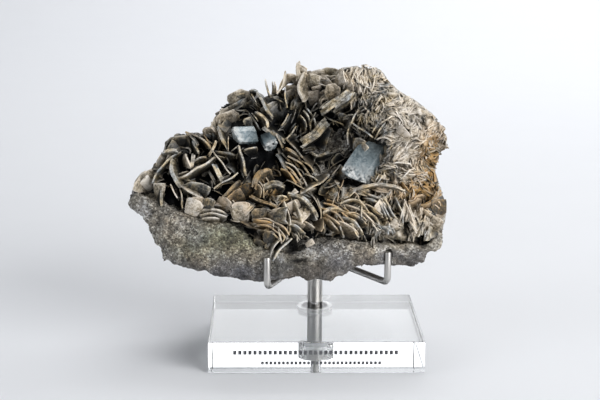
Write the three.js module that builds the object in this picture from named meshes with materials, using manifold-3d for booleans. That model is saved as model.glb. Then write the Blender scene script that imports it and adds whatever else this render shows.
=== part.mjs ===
// Aquamarine crystals on muscovite and matrix, held by rod arms on an acrylic block.
// Millimetres, +Z up, origin at the centre of the block's underside, display side towards -Y.
//
// The specimen is laid out on its display side: u runs across, v runs up and w comes out
// towards a viewer who stands VIEW_DISTANCE away and looks slightly down. The sight function
// turns such a place into X, Y, Z.

import * as THREE from 'three';
import { mergeVertices } from 'three/addons/utils/BufferGeometryUtils.js';
import Module from 'manifold-3d';

const wasm = await Module();
wasm.setup();

// ---- driving dimensions: the stand ----

const BLOCK = { width: 127, depth: 95, height: 19, bevel: 0.6 };
const COUNTERBORE = { radius: 11, depth: 8.7 };
const SCREW = { shankRadius: 3, headRadius: 5, headHeight: 3.2, socketRadius: 2, socketDepth: 2, reach: 9 };
const WASHER = { radius: 8.5, hole: 3.4, thickness: 1.6 };
const POST = { x: 1.4, y: 33.5, radius: 4.75, top: 55, chamfer: 0.8 };
const ARM = { radius: 2, height: 50, elbowRadius: 4, sides: 8, elbowSteps: 4 };
const ROUND = { post: 20, screw: 16 };
const PRONG_TOP = { left: 68, right: 69, back: 96 };
const ELBOW = { left: [-29, -39], right: [42, -30], back: [-8, 43.2] };
const GAP = 0.3;

// ---- driving dimensions: the specimen ----

const VIEW_DISTANCE = 845.6;
const VIEW_POINT = new THREE.Vector3(-28.9, -828.4, 285.9);
const VIEW_TURN = { yaw: 1.358, pitch: 13.104, roll: 0.382 };
const CENTRE = { u: -3, v: 12 };
const RELIEF = { base: 26, crownV: -25, leanBack: 0.0034, sideFall: 14, sideSpan: 100 };
const CRUST_DEPTH = 10;
const CRUST_BASE = 3;
const BANK = { u: 68, v: 42, spreadU: 20, spreadV: 36, rise: 4.5 };
const BACK_LUMPS = { height: 3.5, lengthU: 15, lengthV: 12 };
const CRUST_WALL = 2.4;
const RIM_WALL = 3.5;
const EDGE_ROUND = 2;
const CRUST_SEAT = 2.5;
const ROOT_DEPTH = 8;
const FACE_WIDTH = 11;
const UPRIGHT = 50;
const BACK = { depth: 47, lean: 0.1, sideFall: 0.35, sideStart: 45 };
const ROCK_GRAIN = 0.7;
const CRUST_GRAIN = 1.1;

// Hills and hollows of the display side: u, v, spread across, spread up, height.
const HILLS = [
  [12, 36, 27, 22, -25],
  [64, 42, 22, 28, 12],
  [-45, 54, 16, 14, -5],
  [60, -40, 14, 12, -7],
  [-88, 8, 14, 16, 2],
];

// The specimen's outline on the display side: u, v, how far the rock stays inside it there,
// and how steeply the rock falls away behind it.
const OUTLINE = [
  [88, 3, 2, 1.4], [83, 13, 3, 1.3], [81, 19, 3, 1.3], [85, 27, 3, 1.2], [90, 34, 3, 1.2],
  [88, 43, 3, 1.2], [80, 52, 3, 1.2], [70, 60, 3, 1.2], [61, 65, 3, 1.2], [54, 71, 4, 1.2],
  [49, 79, 4, 1.2], [40, 82, 4, 1.2], [27, 80, 3, 1.2], [12, 79, 4, 1.2], [4, 77, 6, 1.2],
  [-4, 74, 6, 1.2], [-12, 67, 6, 1.2], [-20, 62, 5, 1.2], [-26, 65, 7, 1.2], [-33, 66, 8, 1.2],
  [-43, 63, 8, 1.2], [-50, 58, 8, 1.2], [-53, 49, 8, 1.2], [-56, 42, 6, 1.2], [-66, 41, 6, 1.2],
  [-76, 41, 7, 1.2], [-83, 35, 7, 1.2], [-85, 26, 6, 1.3], [-92, 18, 4, 1.3], [-100, 13, 2, 1.3],
  [-104, 2, 0, 1.4], [-102, -5, 0, 1.6], [-96, -8, 0, 1.8], [-92, -16, 0, 1.9], [-88, -24, 0, 2.1],
  [-82, -35, 0, 2.5], [-72, -39, 0, 2.8], [-57, -43, 0, 3], [-39, -48, 0, 3.3], [-24, -50, 0, 3.5],
  [-12, -48, 0, 3.6], [-6, -47, 0, 3.7], [6, -49, 0, 3.6], [18, -49, 0, 3.5], [24, -46, 0, 3.3],
  [33, -42, 0, 3], [48, -39, 0, 2.8], [63, -41, 0, 2.6], [73, -37, 0, 2.4], [79, -31, 0, 2.2],
  [85, -30, 0, 1.9], [86, -20, 0, 1.6], [88, -7, 0, 1.4],
];

// Lower edge of the crust of blades, from the left end to the right end.
const RIM = [
  [-101, 3], [-88, 3], [-80, -3], [-68, -7], [-56, -11], [-44, -12], [-36, -16], [-26, -26],
  [-14, -28], [0, -26], [14, -22], [30, -24], [44, -25], [60, -25], [74, -24], [87, -20],
];

// Blades that give the crust its look. A row is u, v of one end of the blade's bright edge,
// u, v of the other end, how far the edge bows up, the angle that its face is turned to the
// viewer (positive shows it below the edge), how far it stands proud, and its thickness.
const BLADES = [
  // left wing
  [-100, 6, -90, 18, 3, 65, 0, 3], [-89, 10, -72, 29, 2.4, 20, 2, 1.8], [-81, 32, -65, 31, 7, 60, -1, 2],
  [-83, 29, -73, 29, 1, 30, 2, 2.4], [-68, 40, -61, 32, 1, -10, 2, 2], [-64, 36, -61, 28, 0, 15, 2, 2.6],
  [-68, 41, -53, 30, 2, 15, 3, 1.8], [-58, 40, -50, 41, 3, 50, 0, 2], [-50, 44, -44, 31, 0, -15, 3, 2],
  [-50, 35, -55, 26, 0, 0, 3, 2], [-52, 30, -37, 27, 0, 45, -1, 1.5], [-52, 29, -41, 15, 0, 0, 3, 1.5],
  [-72, 13, -50, 26, 0, 20, 4, 2.4], [-52, 22, -46, 11, 0, 10, 3, 2.4], [-77, 24, -71, 7, -2.5, -25, 3, 2.4],
  [-68, 28, -66, 19, 0, 20, 1, 2.2], [-63, 23, -56, 26, 1.5, 40, 1, 1.6], [-52, 7, -37, 16, 0, 0, 4, 1.8],
  [-47, 2, -36, 12, 0, 35, 3, 2.8], [-70, 9, -53, 7, 3, 55, 2, 2], [-71, 8, -60, 1, 0, -20, 3, 1.8],
  [-68, -2, -56, -1, 3.5, 68, 2, 2.5], [-41, -5, -30, -4, 2, 68, 2, 2.5], [-46, -2, -36, 7, 1.5, 60, 1, 2],
  [-39, 5, -29, 10, 1.5, 60, 0, 2], [-83, 9, -83, -4, 0, 15, 1, 2.2], [-78, 9, -73, 1, 0, 0, 1, 1.5],
  // upper left
  [-44, 59, -31, 65, 4, 68, -3, 3], [-51, 47, -37, 52, 4, 70, -1, 3], [-30, 66, -25, 65, 0.8, 30, 0, 2],
  [-26, 65, -17, 49, 0, -10, 4, 2], [-27, 53, -19, 44, 2, 35, 2, 2], [-21, 73, -17, 62, -1, 5, 2, 1.5],
  [-9, 77, -14, 63, 1, 0, 1, 2], [-9, 67, -8, 55, 0, 0, 3, 1.5], [-8, 76, -2, 74, 1, 40, 0, 2],
  [-1, 83, -2, 72, 0, -45, 0, 2.6], [-1, 81, 4, 78, 0, 45, -1, 2],
  // top and the hollow
  [4, 77, 2, 59, -3, 50, 3, 3], [5, 75, 12, 74, 1.5, 60, 2, 3], [15, 66, 24, 67, 3.5, 62, 3, 3],
  [12, 52, 31, 66, 0, 35, 5, 2], [19, 54, 33, 64, 0, 20, 5, 2], [-1, 32, 16, 48, -3, -40, 5, 2.2],
  [14, 51, 27, 44, 0, 0, 0, 1.5], [-8, 37, -2, 44, 0, 0, 6, 1.8], [-8, 37, 2, 25, 0, 0, 6, 2],
  [-23, 44, -9, 35, 0, -20, 3, 2], [-17, 41, -10, 31, 1, 0, 4, 1.8], [-10, 31, 0, 24, 2, 45, 4, 2.2],
  [-14, 27, -8, 17, 0, -30, 2, 2], [0, 24, 9, 15, 1.5, 0, 3, 1.6], [6, 29, 18, 29, -2, 40, 0, 2],
  [-36, 32, -32, 14, 0, 10, 5, 2.6], [19, 22, 24, 28, 1.5, 50, 2, 2], [-28, 8, -15, 18, 4, 55, 3, 3],
  [-23, 8, -9, 8, 2, 45, 2, 2], [-30, 2, -13, -4, 0, 15, 4, 2.2], [-6, 17, 2, 10, 0, 0, 2, 1.5],
  [1, 5, 19, 15, -1, -25, 4, 1.8], [11, 3, 18, 13, 1, 45, 2, 2],
  // fans along the lower rim
  [-7, -4, -7, -14, -1.5, 50, 6, 1.5], [-4, 0, 1, -13, 1, 40, 6, 1.5], [-7, 4, 10, -11, 4, 40, 4, 2],
  [-19, -8, -8, -7, 1.5, 62, 1, 2], [-29, -7, -19, -7, 2, 60, 1, 2], [-28, -11, -15, -14, 0, 35, 2, 1.8],
  [-22, -20, -15, -20, 1.5, 62, 2, 2], [-13, -16, -11, -26, 0, 0, 2, 1.8], [13, -7, 27, -7, 2.5, 45, 3, 2],
  [33, 6, 62, 6, 3.6, 20, 5, 2], [48, 2, 56, -15, 0, 25, 2, 1.8], [50, 2, 59, -13, 0, 40, 3, 1.8],
  [43, -4, 49, -10, 0, 40, 4, 1.6], [66, -2, 68, -12, 0, 0, 2, 1.5], [78, -2, 87, 0, 1.5, 60, 1, 2],
  [31, -13, 35, -23, 0, 10, 2, 1.8], [24, -13, 26, -23, 0, 10, 2, 1.8],
  // right bank
  [31, 47, 44, 37, 0, 0, 3, 1.8], [35, 54, 29, 33, -2.5, -15, 3, 1.6], [45, 37, 51, 47, 0, 0, 3, 1.6],
  [48, 45, 55, 51, 0, 0, 4, 1.6], [36, 71, 38, 63, 0, 0, 2, 1.6], [45, 74, 43, 65, 0, 0, 2, 1.6],
  [49, 60, 61, 60, 4, 60, 3, 2.5], [55, 24, 60, 32, 0, 30, 3, 2], [55, 21, 66, 22, 1, 0, 3, 1.6],
];

// Aquamarine prisms: u, v, w of the buried and of the free end, radius over corners.
const CRYSTALS = {
  aquamarine_large: { root: [42.5, 33, 4], tip: [33.5, 13, 14], radius: 9.2, turn: 14, chamfer: 1.6 },
  aquamarine_small: { root: [-24.5, 39.5, 6], tip: [-41, 38, 10], radius: 6.4, turn: 8, chamfer: 1.2 },
  aquamarine_side: { root: [-19.7, 39, 3], tip: [-15.7, 31.5, 9], radius: 4.8, turn: 20, chamfer: 1 },
};

// ---- small tools ----

// A repeatable run of numbers from 0 to 1.
function randomRun(seed) {
  let state = seed;
  return () => {
    state = (Math.imul(state, 1664525) + 1013904223) >>> 0;
    return state / 4294967296;
  };
}

function toSolid(geometry) {
  const plain = geometry.clone();
  plain.deleteAttribute('normal');
  plain.deleteAttribute('uv');
  const merged = mergeVertices(plain, 1e-4);
  const index = merged.index.array;
  const triangles = [];
  for (let i = 0; i < index.length; i += 3) {
    const [a, b, c] = [index[i], index[i + 1], index[i + 2]];
    if (a !== b && b !== c && c !== a) triangles.push(a, b, c);
  }
  return new wasm.Manifold(new wasm.Mesh({
    numProp: 3,
    vertProperties: new Float32Array(merged.attributes.position.array),
    triVerts: new Uint32Array(triangles),
  }));
}

function toGeometry(solid) {
  const mesh = solid.getMesh();
  const geometry = new THREE.BufferGeometry();
  geometry.setAttribute('position', new THREE.BufferAttribute(new Float32Array(mesh.vertProperties), 3));
  geometry.setIndex(Array.from(mesh.triVerts));
  geometry.computeVertexNormals();
  return geometry;
}

function geometryOf(points, faces) {
  const geometry = new THREE.BufferGeometry();
  const flat = points.flatMap((p) => [p.x, p.y, p.z]);
  geometry.setAttribute('position', new THREE.Float32BufferAttribute(flat, 3));
  geometry.setIndex(faces.flat());
  return geometry;
}

// The outer skin of a solid, with the closed voids between its parts filled in.
function outerSkin(solid) {
  const { vertProperties, triVerts } = solid.getMesh();
  const owner = Array.from({ length: vertProperties.length / 3 }, (_, i) => i);
  const find = (i) => {
    let at = i;
    while (owner[at] !== at) {
      owner[at] = owner[owner[at]];
      at = owner[at];
    }
    return at;
  };
  for (let i = 0; i < triVerts.length; i += 3) {
    owner[find(triVerts[i])] = find(triVerts[i + 1]);
    owner[find(triVerts[i + 1])] = find(triVerts[i + 2]);
  }
  const skins = new Map();
  for (let i = 0; i < triVerts.length; i += 3) {
    const skin = find(triVerts[i]);
    if (!skins.has(skin)) skins.set(skin, []);
    skins.get(skin).push(triVerts[i], triVerts[i + 1], triVerts[i + 2]);
  }
  const largest = [...skins.values()].sort((a, b) => b.length - a.length)[0];
  return new wasm.Manifold(new wasm.Mesh({ numProp: 3, vertProperties, triVerts: new Uint32Array(largest) }));
}

const viewAxes = (() => {
  const [yaw, pitch, roll] = [VIEW_TURN.yaw, VIEW_TURN.pitch, VIEW_TURN.roll].map(THREE.MathUtils.degToRad);
  const ahead = new THREE.Vector3(Math.sin(yaw), Math.cos(yaw), 0).multiplyScalar(Math.cos(pitch));
  ahead.z = -Math.sin(pitch);
  const level = new THREE.Vector3(Math.cos(yaw), -Math.sin(yaw), 0);
  const above = new THREE.Vector3().crossVectors(level, ahead);
  const right = level.clone().multiplyScalar(Math.cos(roll)).addScaledVector(above, Math.sin(roll));
  const up = above.clone().multiplyScalar(Math.cos(roll)).addScaledVector(level, -Math.sin(roll));
  return { ahead, right, up };
})();

// A place on the display side as X, Y, Z: however far out it is, it keeps to one line of sight.
function sight(u, v, w) {
  const ray = viewAxes.ahead.clone().multiplyScalar(VIEW_DISTANCE);
  ray.addScaledVector(viewAxes.right, u).addScaledVector(viewAxes.up, v);
  return VIEW_POINT.clone().addScaledVector(ray, 1 - w / VIEW_DISTANCE);
}

// ---- the display side's form ----

// How far the tips of the blades stand out at a place.
function relief(u, v) {
  let w = RELIEF.base - RELIEF.leanBack * (v - RELIEF.crownV) ** 2;
  w -= RELIEF.sideFall * (u / RELIEF.sideSpan) ** 2;
  for (const [hillU, hillV, spreadU, spreadV, height] of HILLS) {
    w += height * Math.exp(-(((u - hillU) / spreadU) ** 2) - ((v - hillV) / spreadV) ** 2);
  }
  return w;
}

// The back of the rock, lumpy, leaning slightly and drawn in towards both ends.
function backOf(u, v) {
  const lumps = Math.sin(u / BACK_LUMPS.lengthU + 1) * Math.sin(v / BACK_LUMPS.lengthV + u / 40);
  const drawnIn = BACK.sideFall * Math.max(0, Math.abs(u) - BACK.sideStart);
  return -BACK.depth + BACK.lean * v + drawnIn + BACK_LUMPS.height * lumps;
}

// Height of the blades' grown-together foot above the rock, thick on the bank of fine flakes.
function baseHeight(u, v) {
  const bank = Math.exp(-(((u - BANK.u) / BANK.spreadU) ** 2) - ((v - BANK.v) / BANK.spreadV) ** 2);
  return CRUST_BASE + BANK.rise * bank;
}

// Height of the crust's lower edge at u.
function rimAt(u) {
  for (let i = 1; i < RIM.length; i += 1) {
    const [u0, v0] = RIM[i - 1];
    const [u1, v1] = RIM[i];
    if (u <= u1) return v0 + (v1 - v0) * Math.max(0, (u - u0) / (u1 - u0));
  }
  return RIM[RIM.length - 1][1];
}

// Radius from CENTRE, along the way to an outline point, at which the crust ends.
function crustReach(outU, outV, inset) {
  const [du, dv] = [outU - CENTRE.u, outV - CENTRE.v];
  const length = Math.hypot(du, dv);
  const edge = length - inset;
  for (let r = 0; r < edge; r += 0.5) {
    const [u, v] = [CENTRE.u + (du / length) * r, CENTRE.v + (dv / length) * r];
    if (v < rimAt(u)) return r;
  }
  return edge;
}

// ---- matrix rock ----

const FRONT_RINGS = [0.34, 0.66, 1];
const OUTER_RINGS = [0.2, 0.5, 0.8];
const BACK_RINGS = [0.985, 0.93, 0.84, 0.7, 0.52, 0.3];
const EVEN_SPAN = 4;
const EVEN_FROM = 0.93;
const EVEN_WITHIN = 0.33;
const BACK_GRAIN = 1.1;

// A closed run of values, each replaced by the mean of its neighbourhood.
function evened(values) {
  const n = values.length;
  return values.map((value, k) => {
    let sum = 0;
    for (let i = -EVEN_SPAN; i <= EVEN_SPAN; i += 1) sum += values[(k + i + n) % n];
    return sum / (2 * EVEN_SPAN + 1);
  });
}

// The rock, or with grow the space that the crust leaves free for it.
function rockSolid(grow) {
  const random = randomRun(11);
  const points = [];
  const rings = [];
  const grain = () => (random() - 0.5) * 2 * ROCK_GRAIN;
  const spokes = OUTLINE.map(([u, v, inset, fall]) => {
    const length = Math.hypot(u - CENTRE.u, v - CENTRE.v);
    const edge = length - inset;
    const reach = crustReach(u, v, 0);
    const open = reach > length - 1;
    const crust = Math.min(reach, edge - RIM_WALL);
    const drop = open ? CRUST_DEPTH : 0.5;
    return { u: (u - CENTRE.u) / length, v: (v - CENTRE.v) / length, edge, crust, fall, drop, open };
  });
  // One ring of points; outward and forward say which way its points go as the solid grows.
  const addRing = (radiusOf, heightOf, outward, forward) => {
    rings.push(spokes.map((spoke, k) => {
      const radius = radiusOf(spoke);
      const [u, v] = [CENTRE.u + spoke.u * radius, CENTRE.v + spoke.v * radius];
      const w = heightOf(u, v, spoke, k) + grow * forward;
      const wide = radius + grow * outward(spoke);
      points.push(sight(CENTRE.u + spoke.u * wide, CENTRE.v + spoke.v * wide, w));
      return points.length - 1;
    }));
  };
  const inPlace = () => 0;
  const inward = (s) => (s.open ? 0 : -1);
  const first = points.length;
  points.push(sight(CENTRE.u, CENTRE.v, relief(CENTRE.u, CENTRE.v) - CRUST_DEPTH + grow));
  for (const t of FRONT_RINGS) {
    addRing((s) => s.crust * t, (u, v) => relief(u, v) - CRUST_DEPTH + grain(), t < 1 ? inPlace : inward, 1);
  }
  addRing((s) => s.crust + CRUST_WALL, (u, v, s) => relief(u, v) - s.drop - 1 + grain(), inward, 1);
  for (const t of OUTER_RINGS) {
    addRing((s) => {
      const start = s.crust + CRUST_WALL;
      return start + (s.edge - start) * t;
    }, (u, v, s) => relief(u, v) - s.drop + grain(), inPlace, 1);
  }
  const edgeHeights = spokes.map((s) => {
    const [u, v] = [CENTRE.u + s.u * s.edge, CENTRE.v + s.v * s.edge];
    return relief(u, v) - s.drop - EDGE_ROUND;
  });
  addRing((s) => s.edge, (u, v, s, k) => edgeHeights[k], () => 1, 1);
  const evenEdges = evened(spokes.map((s) => s.edge));
  spokes.forEach((s, k) => {
    s.evenEdge = evenEdges[k];
  });
  for (const t of BACK_RINGS) {
    const deep = THREE.MathUtils.smoothstep(EVEN_FROM - t, 0, EVEN_WITHIN);
    addRing((s) => {
      const even = deep * THREE.MathUtils.smoothstep(s.v, -0.8, 0);
      return (s.edge + (s.evenEdge - s.edge) * even) * t;
    }, (u, v, s, k) => {
      const w = edgeHeights[k] - s.fall * s.edge * (1 - t);
      return Math.max(w, backOf(u, v)) + grain() * BACK_GRAIN;
    }, () => 1, 0);
  }
  const last = points.length;
  points.push(sight(CENTRE.u, CENTRE.v, backOf(CENTRE.u, CENTRE.v)));
  const faces = [];
  const n = spokes.length;
  for (let k = 0; k < n; k += 1) {
    const next = (k + 1) % n;
    faces.push([first, rings[0][k], rings[0][next]]);
    for (let i = 1; i < rings.length; i += 1) {
      faces.push([rings[i - 1][k], rings[i][k], rings[i][next]]);
      faces.push([rings[i - 1][k], rings[i][next], rings[i - 1][next]]);
    }
    faces.push([rings[rings.length - 1][k], last, rings[rings.length - 1][next]]);
  }
  return toSolid(geometryOf(points, faces));
}

// ---- muscovite crust ----

// The grown-together foot of the blades, a slab over the rock's face.
function crustBase() {
  const random = randomRun(5);
  const points = [];
  const steps = [0.3, 0.58, 0.8, 1];
  const spokes = OUTLINE.filter((row, k) => k % 2 === 0).map(([u, v, inset]) => {
    const length = Math.hypot(u - CENTRE.u, v - CENTRE.v);
    const reach = Math.min(crustReach(u, v, 0), length - Math.min(inset, 4) + 2);
    return { u: (u - CENTRE.u) / length, v: (v - CENTRE.v) / length, reach };
  });
  const layer = (heightOf) => {
    const centre = points.length;
    points.push(sight(CENTRE.u, CENTRE.v, heightOf(CENTRE.u, CENTRE.v)));
    const rings = steps.map((t) => spokes.map((s) => {
      const [u, v] = [CENTRE.u + s.u * s.reach * t, CENTRE.v + s.v * s.reach * t];
      points.push(sight(u, v, heightOf(u, v)));
      return points.length - 1;
    }));
    return { centre, rings };
  };
  const grain = () => (random() - 0.5) * 2 * CRUST_GRAIN;
  const front = layer((u, v) => relief(u, v) - CRUST_DEPTH + baseHeight(u, v) + grain());
  const back = layer((u, v) => relief(u, v) - CRUST_DEPTH - CRUST_SEAT);
  const faces = [];
  const n = spokes.length;
  for (let k = 0; k < n; k += 1) {
    const next = (k + 1) % n;
    for (const [side, flip] of [[front, false], [back, true]]) {
      const add = (a, b, c) => faces.push(flip ? [a, c, b] : [a, b, c]);
      add(side.centre, side.rings[0][k], side.rings[0][next]);
      for (let i = 1; i < steps.length; i += 1) {
        add(side.rings[i - 1][k], side.rings[i][k], side.rings[i][next]);
        add(side.rings[i - 1][k], side.rings[i][next], side.rings[i - 1][next]);
      }
    }
    const [outer, inner] = [front.rings[steps.length - 1], back.rings[steps.length - 1]];
    faces.push([outer[k], inner[k], inner[next]]);
    faces.push([outer[k], inner[next], outer[next]]);
  }
  return toSolid(geometryOf(points, faces));
}

// A sheet through rows of points, thickened to both sides.
function thickSheet(rows, thickness) {
  const points = [];
  const [m, n] = [rows.length, rows[0].length];
  const normalAt = (i, k) => {
    const along = rows[i][Math.min(k + 1, n - 1)].clone().sub(rows[i][Math.max(k - 1, 0)]);
    const down = rows[Math.min(i + 1, m - 1)][k].clone().sub(rows[Math.max(i - 1, 0)][k]);
    return along.cross(down).normalize();
  };
  for (const side of [0.5, -0.5]) {
    for (let i = 0; i < m; i += 1) {
      for (let k = 0; k < n; k += 1) {
        points.push(rows[i][k].clone().addScaledVector(normalAt(i, k), side * thickness));
      }
    }
  }
  const at = (side, i, k) => side * m * n + i * n + k;
  const faces = [];
  const quad = (a, b, c, d) => faces.push([a, b, c], [a, c, d]);
  for (let i = 0; i < m - 1; i += 1) {
    for (let k = 0; k < n - 1; k += 1) {
      quad(at(0, i, k), at(0, i, k + 1), at(0, i + 1, k + 1), at(0, i + 1, k));
      quad(at(1, i, k), at(1, i + 1, k), at(1, i + 1, k + 1), at(1, i, k + 1));
    }
  }
  for (let k = 0; k < n - 1; k += 1) {
    quad(at(0, 0, k + 1), at(0, 0, k), at(1, 0, k), at(1, 0, k + 1));
    quad(at(0, m - 1, k), at(0, m - 1, k + 1), at(1, m - 1, k + 1), at(1, m - 1, k));
  }
  for (let i = 0; i < m - 1; i += 1) {
    quad(at(0, i, 0), at(0, i + 1, 0), at(1, i + 1, 0), at(1, i, 0));
    quad(at(0, i + 1, n - 1), at(0, i, n - 1), at(1, i, n - 1), at(1, i + 1, n - 1));
  }
  return toSolid(geometryOf(points, faces));
}

// One muscovite blade: its edge bows between two ends, and its sheet runs back into the crust.
function bladeSolid([u1, v1, u2, v2, bow, lean, lift, thickness]) {
  const length = Math.hypot(u2 - u1, v2 - v1);
  const [eu, ev] = [(u2 - u1) / length, (v2 - v1) / length];
  const [su, sv] = [ev, -eu];
  const turn = THREE.MathUtils.degToRad(lean);
  const upright = Math.abs(lean) < UPRIGHT;
  const stations = bow === 0 ? 1 : 2;
  const rows = [[], [], []];
  for (let k = 0; k <= stations; k += 1) {
    const t = k / stations;
    const round = stations === 1 ? 0.4 : 1 - (2 * t - 1) ** 2;
    const [u, v] = [u1 + (u2 - u1) * t - su * bow * round, v1 + (v2 - v1) * t - sv * bow * round];
    const tip = relief(u, v) + lift - 2.5 * (1 - round);
    const face = FACE_WIDTH * (0.7 + 0.3 * round) * Math.min(1, length / 12 + 0.3);
    const sideways = face * Math.sin(turn);
    const [bendU, bendV] = [u + su * sideways, v + sv * sideways];
    const bend = tip - face * Math.cos(turn);
    rows[0].push(sight(u, v, tip));
    rows[1].push(sight(bendU, bendV, bend));
    rows[2].push(sight(bendU, bendV, Math.min(bend - 1, relief(bendU, bendV) - ROOT_DEPTH)));
  }
  if (upright) rows.splice(1, 1);
  return thickSheet(rows, thickness);
}

// ---- aquamarine ----

// A six-sided prism with a narrow chamfer round its free end, grown by swell on every side.
function prismSolid({ root, tip, radius, turn, chamfer }, swell) {
  const ends = [root, tip].map(([u, v, w]) => sight(u, v, w));
  const axis = ends[1].clone().sub(ends[0]);
  const length = axis.length();
  axis.normalize();
  const outer = radius + swell / Math.cos(Math.PI / 6);
  const profile = [
    [0, -swell], [outer, -swell], [outer, length - chamfer + swell], [outer - chamfer, length + swell],
    [0, length + swell],
  ].map(([x, y]) => new THREE.Vector2(x, y));
  const geometry = new THREE.LatheGeometry(profile, 6);
  geometry.rotateY(THREE.MathUtils.degToRad(turn));
  geometry.applyQuaternion(new THREE.Quaternion().setFromUnitVectors(new THREE.Vector3(0, 1, 0), axis));
  geometry.translate(ends[0].x, ends[0].y, ends[0].z);
  return toSolid(geometry);
}

// ---- the stand ----

// A turned shape about the vertical through x, y.
function turned(profile, x, y, sides) {
  const geometry = new THREE.LatheGeometry(profile.map(([r, z]) => new THREE.Vector2(r, z)), sides);
  geometry.rotateX(Math.PI / 2);
  geometry.translate(x, y, 0);
  return geometry;
}

function blockSolid() {
  const { width, depth, height, bevel } = BLOCK;
  const [halfW, halfD] = [width / 2 - bevel, depth / 2 - bevel];
  const shape = new THREE.Shape();
  shape.moveTo(-halfW, -halfD);
  shape.lineTo(halfW, -halfD);
  shape.lineTo(halfW, halfD);
  shape.lineTo(-halfW, halfD);
  shape.closePath();
  const geometry = new THREE.ExtrudeGeometry(shape, {
    depth: height - 2 * bevel, bevelEnabled: true, bevelSize: bevel, bevelThickness: bevel, bevelSegments: 1,
  });
  geometry.translate(0, 0, bevel);
  const hole = SCREW.shankRadius + GAP;
  const bore = turned([
    [0, -1], [COUNTERBORE.radius, -1], [COUNTERBORE.radius, COUNTERBORE.depth], [hole, COUNTERBORE.depth],
    [hole, height + 1], [0, height + 1],
  ], POST.x, POST.y, ROUND.post);
  return toSolid(geometry).subtract(toSolid(bore));
}

function postGeometry() {
  const { radius, top, chamfer } = POST;
  const hole = SCREW.shankRadius + GAP;
  const depth = BLOCK.height + SCREW.reach + GAP;
  return turned([
    [hole, BLOCK.height], [radius - chamfer, BLOCK.height], [radius, BLOCK.height + chamfer],
    [radius, top - chamfer], [radius - chamfer, top], [0, top], [0, depth], [hole, depth],
    [hole, BLOCK.height],
  ], POST.x, POST.y, ROUND.post);
}

function screwGeometry() {
  const { shankRadius, headRadius, headHeight, socketRadius, socketDepth, reach } = SCREW;
  const under = COUNTERBORE.depth - WASHER.thickness;
  const low = under - headHeight;
  return turned([
    [0, low + socketDepth], [socketRadius, low + socketDepth], [socketRadius, low], [headRadius, low],
    [headRadius, under], [shankRadius, under], [shankRadius, BLOCK.height + reach], [0, BLOCK.height + reach],
  ], POST.x, POST.y, ROUND.screw);
}

function washerGeometry() {
  const [low, high] = [COUNTERBORE.depth - WASHER.thickness, COUNTERBORE.depth];
  return turned([
    [WASHER.hole, low], [WASHER.radius, low], [WASHER.radius, high], [WASHER.hole, high], [WASHER.hole, low],
  ], POST.x, POST.y, ROUND.screw);
}

// The middle line of an arm: from the post out to its elbow and up to the prong's end.
function armLine([x, y], prongTop) {
  const start = new THREE.Vector3(POST.x, POST.y, ARM.height);
  const corner = new THREE.Vector3(x, y, ARM.height);
  const out = corner.clone().sub(start).normalize();
  const bendStart = corner.clone().addScaledVector(out, -ARM.elbowRadius);
  const bendEnd = corner.clone().setZ(ARM.height + ARM.elbowRadius);
  const bend = new THREE.QuadraticBezierCurve3(bendStart, corner, bendEnd);
  return [start, ...bend.getPoints(ARM.elbowSteps), corner.clone().setZ(prongTop)];
}

// A round rod swept through the points of a line that stays in one upright plane.
function rodSolid(line, radius, sides) {
  const across = line[line.length - 1].clone().sub(line[0]).setZ(0).normalize();
  across.set(-across.y, across.x, 0);
  const points = [];
  line.forEach((place, i) => {
    const before = place.clone().sub(line[Math.max(i - 1, 0)]).normalize();
    const after = line[Math.min(i + 1, line.length - 1)].clone().sub(place).normalize();
    const along = before.add(after).normalize();
    const other = new THREE.Vector3().crossVectors(along, across);
    for (let k = 0; k < sides; k += 1) {
      const angle = ((k + 0.5) / sides) * Math.PI * 2;
      const point = place.clone().addScaledVector(across, Math.cos(angle) * radius);
      points.push(point.addScaledVector(other, Math.sin(angle) * radius));
    }
  });
  const ends = [points.length, points.length + 1];
  points.push(line[0].clone(), line[line.length - 1].clone());
  const faces = [];
  const final = (line.length - 1) * sides;
  for (let k = 0; k < sides; k += 1) {
    const next = (k + 1) % sides;
    for (let i = 0; i < final; i += sides) {
      faces.push([i + k, i + sides + next, i + sides + k], [i + k, i + next, i + sides + next]);
    }
    faces.push([ends[0], next, k], [ends[1], final + k, final + next]);
  }
  return toSolid(geometryOf(points, faces));
}

function armSolid(side, extra) {
  return rodSolid(armLine(ELBOW[side], PRONG_TOP[side] + extra), ARM.radius + extra, ARM.sides);
}

// ---- assembly ----

const FINISHES = {
  acrylic: { color: 0xe9eef0, roughness: 0.05, metalness: 0, transparent: true, opacity: 0.4 },
  steel: { color: 0xb9bcc0, roughness: 0.25, metalness: 1 },
  rock: { color: 0x7c776c, roughness: 0.9, metalness: 0 },
  muscovite: { color: 0x9a8c76, roughness: 0.5, metalness: 0 },
  beryl: { color: 0x9fb6c4, roughness: 0.3, metalness: 0 },
};

function piece(name, shape, finish) {
  const geometry = shape instanceof THREE.BufferGeometry ? toGeometry(toSolid(shape)) : toGeometry(shape);
  const mesh = new THREE.Mesh(geometry, new THREE.MeshStandardMaterial(FINISHES[finish]));
  mesh.name = name;
  return mesh;
}

const specimen = new THREE.Group();
const sides = ['left', 'right', 'back'];
const armSpaces = sides.map((side) => armSolid(side, GAP));

// A round space about the post's axis, from z = low to z = high.
function postSpace(low, high) {
  const radius = POST.radius + GAP;
  return toSolid(turned([[0, low], [radius, low], [radius, high], [0, high]], POST.x, POST.y, ROUND.post));
}

function clearOfStand(solid) {
  const spaces = [...armSpaces, postSpace(BLOCK.height, POST.top + GAP)];
  return spaces.reduce((rest, space) => rest.subtract(space), solid);
}

const rock = rockSolid(0);
const rockSpace = rockSolid(GAP).add(rock);
specimen.add(piece('matrix_rock', clearOfStand(rock), 'rock'));

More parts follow.
